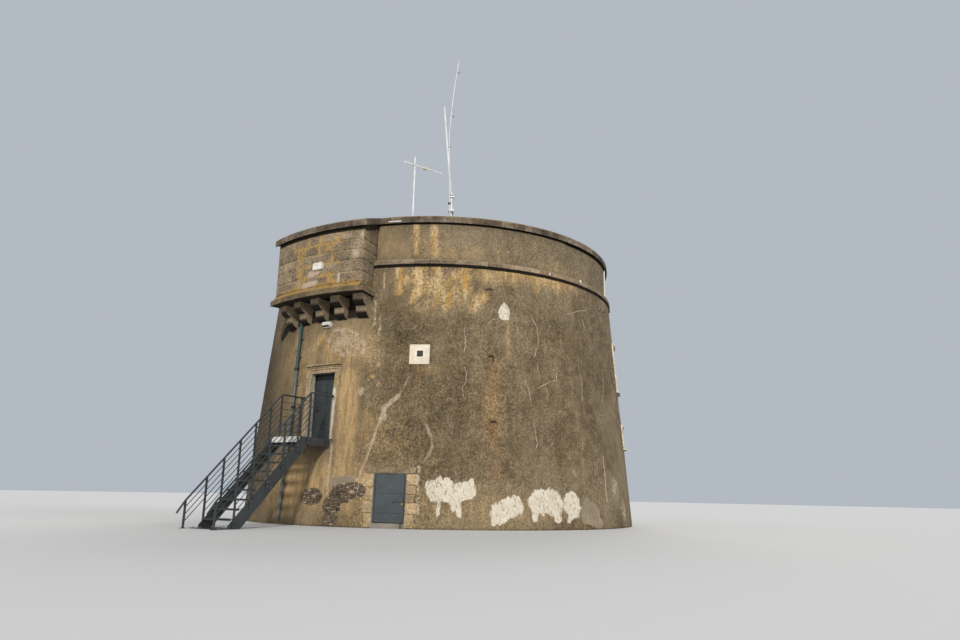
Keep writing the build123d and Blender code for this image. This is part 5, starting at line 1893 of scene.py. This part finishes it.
@dataclass(frozen=True)
class Fittings:
    """Lamp, wall box, sign, downpipe clips, hooks and the small white fittings."""

    lamp: Point = (-0.6, 5.666, 5.34)
    box: Point = (0.06, 6.2519, 6.862)
    sign: Pair = (27.75, 4.39)
    hooks: tuple[tuple[float, float, tuple[Point, ...]], ...] = (
        (46.2, 6.28, BAR_HOOK), (46.61, 4.41, BENT_HOOK), (47.03, 2.68, BAR_HOOK),
        (91.5, 6.42, PIN), (94.6, 6.42, PIN), (104.1, 6.65, PIN))

    def lights(self) -> None:
        """The lamp, whose front leans in towards the bottom, its glass, and the wall box."""
        azimuth, radius, height = self.lamp
        slot, lights = "white_housing", ("wall_lights",)
        bench = Bench(azimuth, SHAPE.on_ring(azimuth, radius - 0.006, height))
        outline = ((0.012, -0.08), (0.085, -0.08), (0.15, -0.02), (0.15, 0.05), (0.115, 0.08),
                   (0.0, 0.08))
        bridge(bench.shape, [
            [bench.shape.verts.new(bench.spot(x, out * share, z * share)) for out, z in outline]
            for x, share in ((-0.16, 0.6), (-0.11, 1.0), (0.11, 1.0), (0.16, 0.6))])
        bench.cut("wall_lamp", "housing_white", slot, (0.006, 3), replaced=lights)
        bench.at(azimuth, SHAPE.on_ring(azimuth, radius + 0.112, height - 0.05), -28.0)
        bench.box((0, 0, 0), (0.25, 0.075, 0.012))
        bench.cut("wall_lamp_glass", "dark_glass", slot, (0.002, 2))
        azimuth, radius, height = self.box
        bench.at(azimuth, SHAPE.on_ring(azimuth, radius, height))
        bench.box((0, 0.03, 0), (0.322, 0.07, 0.182))
        bench.box((0, 0.077, 0), (0.33, 0.026, 0.19))
        bench.cut("wall_box", "housing_white", slot, (0.005, 3), replaced=lights)
        Studs("box_screws", 0.008, 0.004).build(
            [Stud(bench.spot(x, 0.0899, z), SHAPE.outward(azimuth))
             for x in (-0.145, 0.145) for z in (-0.078, 0.078)], "bolt_steel", slot)

    def sign_trim(self) -> None:
        """The sign's raised rim, and the small dark plate in its middle."""
        azimuth, height = self.sign
        bench = Bench().at(azimuth, SHAPE.on_drum(azimuth, height, 0.0253),
                           -math.degrees(math.atan(SHAPE.batter)))
        for x, z in ((0, 0.258), (0, -0.258), (0.258, 0), (-0.258, 0)):
            bench.box((x, 0.001, z), (0.53, 0.008, 0.014) if z else (0.014, 0.008, 0.53))
        bench.cut("sign_rim", "sign_cream", "cream_panel", (0.002, 2))
        bench.box((0.01, 0.0015, 0.02), (0.16, 0.005, 0.16))
        bench.cut("sign_plate", "black_rubber", "cream_panel", (0.001, 1))

    def ironwork(self) -> None:
        """Forged iron in the wall: bars bent into it at their ends, a bent hook and small pins."""
        bench = Bench()
        for azimuth, height, path in self.hooks:
            radius, sides = (0.013, 8) if path is PIN else (0.015, 10)
            bench.at(azimuth, SHAPE.on_drum(azimuth, height)).wire(path, radius, sides)
        bench.cut("wall_hooks", "rusty_iron", "rendered_wall")

    def white_bits(self) -> None:
        """White clips under the parapet, strips on the parapet, and one along the coping."""
        bench = Bench()
        string, wall = SHAPE.string_radius - 0.012, SHAPE.parapet_radius + 0.022
        for azimuth, radius, height, size in (
            (65.8, string, 7.0, (0.045, 0.05, 0.055)), (79.5, string, 7.06, (0.045, 0.05, 0.09)),
            (11.9, string, 7.0, (0.045, 0.05, 0.055)), (105.0, wall, 7.38, (0.05, 0.04, 0.48)),
            (105.0, wall, 7.86, (0.05, 0.04, 0.46)),
        ):
            bench.at(azimuth, SHAPE.on_ring(azimuth, radius, height)).box((0, 0, 0), size)
        bench.cut("white_clips", "housing_white", "white_housing", (0.004, 2))
        radius, height = SHAPE.coping_reach + 0.004, SHAPE.parapet_top + 0.05
        for azimuth in (17.2, 18.5, 19.8):
            bench.at(azimuth, SHAPE.on_ring(azimuth, radius, height))
            bench.box((0, 0, 0), (0.125, 0.014, 0.035))
        bench.cut("coping_strip", "housing_white", "white_housing", (0.003, 1))

    def pipework(self) -> None:
        """Pipe clips, each a band with two ears screwed to the wall, and dark pipe sockets."""
        bench = Bench()
        route = ((-11.5, 5.55), (-10.6, 4.07), (-9.75, 3.08), (-9.2, 0.15))
        for (start, high), (end, low) in zip(route, route[1:]):
            for share in (0.35, 0.7):
                azimuth, height = start + (end - start) * share, high + (low - high) * share
                bench.at(azimuth, SHAPE.on_drum(azimuth, height, 0.07))
                bench.upright(0, 0, -0.018, 0.018, 0.052, 20)
                for x in (-0.062, 0.062):
                    bench.box((x, -0.035, 0), (0.03, 0.07, 0.034))
        bench.cut("pipe_clips", "pipe_grey", "pipe_paint")
        for azimuth, height in ((-10.67, 4.17), (-9.76, 3.09)):
            bench.at(azimuth, SHAPE.on_drum(azimuth, height, 0.07))
            bench.upright(0, 0, -0.04, 0.04, 0.064, 24)
        bench.cut("pipe_joints", "black_rubber", "pipe_paint")

    def build(self) -> None:
        """Builds all of them."""
        self.lights()
        self.sign_trim()
        self.ironwork()
        self.white_bits()
        self.pipework()


@dataclass(frozen=True)
class Aerials:
    """Clamp bolts, couplers, the feed box and the ball on the aerial masts."""

    plane_turn: float = 34.3
    pole_offset: float = 0.07
    pole_top: float = 11.4
    spacing: float = 0.085
    yagi: Pair = (-1.066, -0.727)
    boom_height: float = 12.45
    boom_turn: float = 67.9
    bands: tuple[tuple[float, float, float, float], ...] = (
        (-0.1346, -0.085, 13.262, 0.037), (-0.024, 0.085, 14.41, 0.019),
        (0.1407, 0.085, 16.214, 0.019))

    def at_pole(self) -> Bench:
        """A bench at the foot of the pole, in the plane of the whips."""
        bench = Bench(self.plane_turn)
        return bench.at(self.plane_turn, bench.spot(self.pole_offset, 0.0, 0.0))

    def clamp_bolts(self) -> list[Stud]:
        """Bolt heads on the faces of the two clamps.

        Returns:
            The bolts.
        """
        bench, away = self.at_pole(), SHAPE.outward(self.plane_turn)
        return [Stud(bench.spot(x, side * self.spacing, self.pole_top + level), away * side)
                for level in (-0.68, -0.1) for x in (-0.07, 0.0, 0.07) for side in (1, -1)]

    def metal(self) -> None:
        """Gussets at the pole feet, and the boom's clamp with its U-bolts and a collar below it."""
        bench = self.at_pole()
        for base, radius in ((bench.spot(0, 0, 7.197), 0.068), ((*self.yagi, 6.897), 0.06)):
            for azimuth in (20, 110, 200, 290):
                bench.at(azimuth, base).box((radius, 0, 0.07), (0.06, 0.008, 0.1))
        bench.at(self.boom_turn, (*self.yagi, self.boom_height))
        bench.box((0, 0, -0.032), (0.11, 0.08, 0.012))
        for out in (0.026, -0.026):
            for x in (-0.04, 0.04):
                bench.upright(x, out, -0.05, 0.035, 0.004, 8)
        bench.upright(0, 0, -0.35, -0.24, 0.036, 20)
        bench.cut("mast_clamps", "mast_metal", "mast_metal", (0.001, 1))

    def dark_parts(self) -> None:
        """The black ball and coupler beside the pole, the cable and the ties and bands."""
        bench = self.at_pole()
        ball = (-self.pole_offset, 0.06)
        bmesh.ops.create_uvsphere(bench.shape, u_segments=20, v_segments=12, radius=0.05,
                                  matrix=Matrix.Translation(bench.spot(*ball, 10.98)))
        bench.upright(*ball, 11.01, 11.18, 0.014, 12)
        bench.upright(0.048, 0, 10.7, 7.25, 0.009, 10)
        for height in (7.9, 8.6, 9.3, 10.0, 10.5):
            bench.upright(0, 0, height - 0.008, height + 0.008, 0.041)
        for x, out, height, radius in self.bands:
            bench.upright(x, out, height - 0.022, height + 0.022, radius)
        bench.cut("mast_cables", "black_rubber", "mast_metal")

    def build(self) -> None:
        """Builds them."""
        Studs("clamp_bolts", 0.014, 0.02, True).build(
            self.clamp_bolts(), "mast_metal", "mast_metal")
        self.metal()
        self.dark_parts()
        bench = Bench(self.boom_turn, (*self.yagi, self.boom_height))
        bench.box((0.44, 0, -0.01), (0.14, 0.1, 0.09))
        bench.cut("feed_box", "feed_cream", "white_fibreglass", (0.008, 3))


@dataclass(frozen=True)
class SeawardWindow:
    """Ribs, bars and rivets of the window's shutter, and the vent's grille."""

    azimuth: float = 110.0
    sill: float = 4.15
    head: float = 5.57
    vent_sill: float = 2.38
    vent_head: float = 2.98

    def build(self) -> None:
        """Builds the shutter's ribs, rails and rivets, and the bars before the blind vent."""
        azimuth, slot = self.azimuth, "slate_paint"
        bench = Bench(azimuth, SHAPE.on_ring(azimuth, SHAPE.radius(self.head) - 0.12, 0.0))
        columns, rails = steps(-0.3, 0.3, 0.1), (self.sill + 0.2, self.sill + 0.71, self.head - 0.2)
        for x in columns:
            bench.box((x, 0.005, (self.sill + self.head) / 2),
                      (0.022, 0.012, self.head - self.sill - 0.06))
        for z in rails:
            bench.box((0, 0.011, z), (0.68, 0.012, 0.06))
        bench.cut("shutter_ribs", "door_slate", slot, (0.002, 1))
        Studs("shutter_rivets", 0.009, 0.006).build(
            [Stud(bench.spot(x, 0.017, z), SHAPE.outward(azimuth)) for x in columns
             for z in rails], "door_slate", slot)
        bench.at(azimuth, SHAPE.on_ring(azimuth, SHAPE.radius(self.vent_head) - 0.07, 0.0))
        for x in steps(-0.18, 0.18, 0.09):
            bench.upright(x, 0, self.vent_sill - 0.01, self.vent_head + 0.01, 0.011, 10)
        for z in (0.2, 0.4):
            bench.box((0, 0, self.vent_sill + z), (0.49, 0.008, 0.03))
        bench.cut("vent_grille", "rusty_iron", slot)


CRACKS = (
    (((39.6, 4.11), (40.2, 3.78), (39, 3.47), (39.7, 3.25)), 0.012),
    (((62.6, 3.74), (63.2, 3.52), (63, 3.28)), 0.012),
    (((59.7, 3.63), (62.7, 3.79), (66.3, 3.94), (66.8, 4.2)), 0.012),
    (((55.9, 3.88), (57.3, 3.54), (57.6, 3.24)), 0.011),
    (((79.7, 5.92), (80.3, 5.57)), 0.022),
    (((72, 5.9), (76.9, 6.09), (82.6, 6.24)), 0.013),
    (((58.7, 5.66), (60.6, 5.35), (60.8, 4.92), (59.1, 4.47)), 0.014),
    (((54.2, 5.42), (54.6, 5.07)), 0.01),
    (((46.2, 5.29), (46.7, 5.42), (48.9, 5.48)), 0.01),
    (((75.5, 4.53), (76.5, 3.95), (76.1, 3.44)), 0.013),
    (((84.1, 1.93), (84.3, 1.37), (83.6, 0.81)), 0.016),
    (((74.6, 2.43), (74.9, 2.12)), 0.012), (((70.2, 1.59), (70.9, 1.39)), 0.014),
    (((39.3, 5.16), (39.8, 4.74), (39.3, 4.46)), 0.011), (((60.1, 4.34), (60.7, 3.92)), 0.01),
    (((89.5, 4.27), (86.8, 3.48)), 0.013), (((14.9, 1.45), (14.2, 1.07), (14.2, 0.76)), 0.016),
    (((58.1, 2.8), (59, 2.21), (58.5, 1.97)), 0.012), (((37.4, 1.42), (38.3, 1.3)), 0.014),
    (((180, 5.6), (184, 4.9), (183, 4.2), (187, 3.6)), 0.014),
    (((221, 3.9), (226, 3.4), (225, 2.7)), 0.013),
    (((272, 5.9), (270, 5.1), (273, 4.6)), 0.013), (((301, 3.2), (304, 2.4)), 0.013),
)


@dataclass(frozen=True)
class WallScars:
    """Filled cracks, the torn plaster leaf and the stones laid bare at the foot of the drum."""

    seed: int = 3
    leaf: tuple[Pair, ...] = (
        (50.5, 5.97), (49.3, 5.8), (48.7, 5.66), (49.0, 5.52), (49.6, 5.45), (50.8, 5.44),
        (51.9, 5.46), (52.1, 5.6), (52.2, 5.76), (51.4, 5.88))

    def on_coat(self, azimuth: float, height: float, proud: float) -> Vector:
        """A point on the uneven face of the coat, or standing proud of it."""
        proud += relief_at(azimuth, height, SHAPE.radius(height))
        return SHAPE.on_drum(azimuth, height, proud)

    def cracks(self) -> None:
        """Thin raised ribbons of filler along each crack, with a ragged line and width."""
        dice = random.Random(self.seed)
        shape = bmesh.new()
        for route, width in CRACKS:
            line = [Vector(route[0])]
            for start, end in zip(route, route[1:]):
                across = math.radians(end[0] - start[0]) * SHAPE.radius(start[1])
                count = max(2, round(math.hypot(across, end[1] - start[1]) / 0.035))
                for share in (index / count for index in range(1, count + 1)):
                    line.append(Vector((
                        start[0] + (end[0] - start[0]) * share + dice.gauss(0, 0.13),
                        start[1] + (end[1] - start[1]) * share + dice.gauss(0, 0.006))))
            rings = []
            for index, point in enumerate(line):
                before, after = line[max(index - 1, 0)], line[min(index + 1, len(line) - 1)]
                radius = SHAPE.radius(point.y)
                run = Vector((math.radians(after.x - before.x) * radius, after.y - before.y))
                run.normalize()
                taper = min(1.0, 0.25 + index * 0.25, 0.25 + (len(line) - 1 - index) * 0.25)
                side = Vector((-run.y, run.x)) * (width * 0.65 * taper * dice.uniform(0.55, 1.25))
                rings.append([
                    shape.verts.new(self.on_coat(point.x + math.degrees(side.x * share / radius),
                                                 point.y + side.y * share, proud))
                    for share, proud in ((1.0, -0.004), (0.8, 0.0018), (-0.8, 0.0018),
                                         (-1.0, -0.004))])
            bridge(shape, rings)
        seat(coated(from_bmesh("crack_filler", shape), "crack_filler"))

    def torn_leaf(self) -> None:
        """The pale patch of newer plaster, a thin slab with a ragged rim."""
        shape = bmesh.new()
        middle, level = (sum(values) / len(self.leaf) for values in zip(*self.leaf))
        bridge(shape, [
            [shape.verts.new(self.on_coat(middle + (azimuth - middle) * scale,
                                          level + (height - level) * scale, proud))
             for azimuth, height in self.leaf]
            for scale, proud in ((1.0, -0.006), (0.98, 0.003), (0.92, 0.0045), (0.5, 0.006))])
        seat(coated(from_bmesh("plaster_leaf", shape), "new_plaster"))

    def rubble(self) -> list[Block]:
        """Rough stones set close together inside the bare patches, laid flat.

        Returns:
            The stones.
        """
        dice = random.Random(self.seed + 1)
        placed: list[Point] = []
        blocks = []
        for mark in DRUM_WEATHER.marks["rubble"]:
            for _ in range(260):
                across, up = dice.uniform(-1, 1) * mark.wide, dice.uniform(-1, 1) * mark.tall
                if math.hypot(across / mark.wide, up / mark.tall) > 0.8:
                    continue
                x = math.radians(mark.azimuth) * SHAPE.base_radius + across * 1.01
                z = mark.height + up
                size = dice.uniform(0.05, 0.13)
                if z < size / 2 + 0.01 or abs(math.degrees(x / SHAPE.base_radius) - 22.1) < 6.3:
                    continue
                if all(math.hypot(x - a, z - b) > (size + c) * 0.52 for a, b, c in placed):
                    placed.append((x, z, size))
                    blocks.append(Block((x, 0.02 - dice.uniform(0.008, 0.022), z), 0.0,
                                        size * dice.uniform(0.9, 1.35),
                                        size * dice.uniform(0.65, 1.0),
                                        2.9 if dice.random() < 0.18 else dice.uniform(0.8, 1.8)))
        return blocks

    def build(self) -> None:
        """Builds them."""
        self.cracks()
        self.torn_leaf()
        Masonry("bare_rubble", 0.045, 0.0, 0.012, 0.5, SHAPE.base_radius, SHAPE.batter).build(
            self.rubble(), "rubble_stone", DRUM_WEATHER, "rendered_wall")


def main() -> None:
    """Builds the tower's looks."""
    logging.basicConfig(level=logging.INFO, format="%(message)s")
    for finish in FINISHES:
        MATERIALS[finish.name] = finish.material()
    for finish, names in NODE_FINISHES.items():
        families = tuple(name for name in names if name.endswith("_"))
        for name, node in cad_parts.items():
            if name in names or name.startswith(families):
                coated(node, finish)
    for part in (Drum(), Parapet(), WallScars(), Bartizan(), Entrance(), GroundDoor(),
                 SeawardWindow(), Stair(), Fittings(), Aerials(), Stage()):
        part.build()


if __name__ == "__main__":
    main()
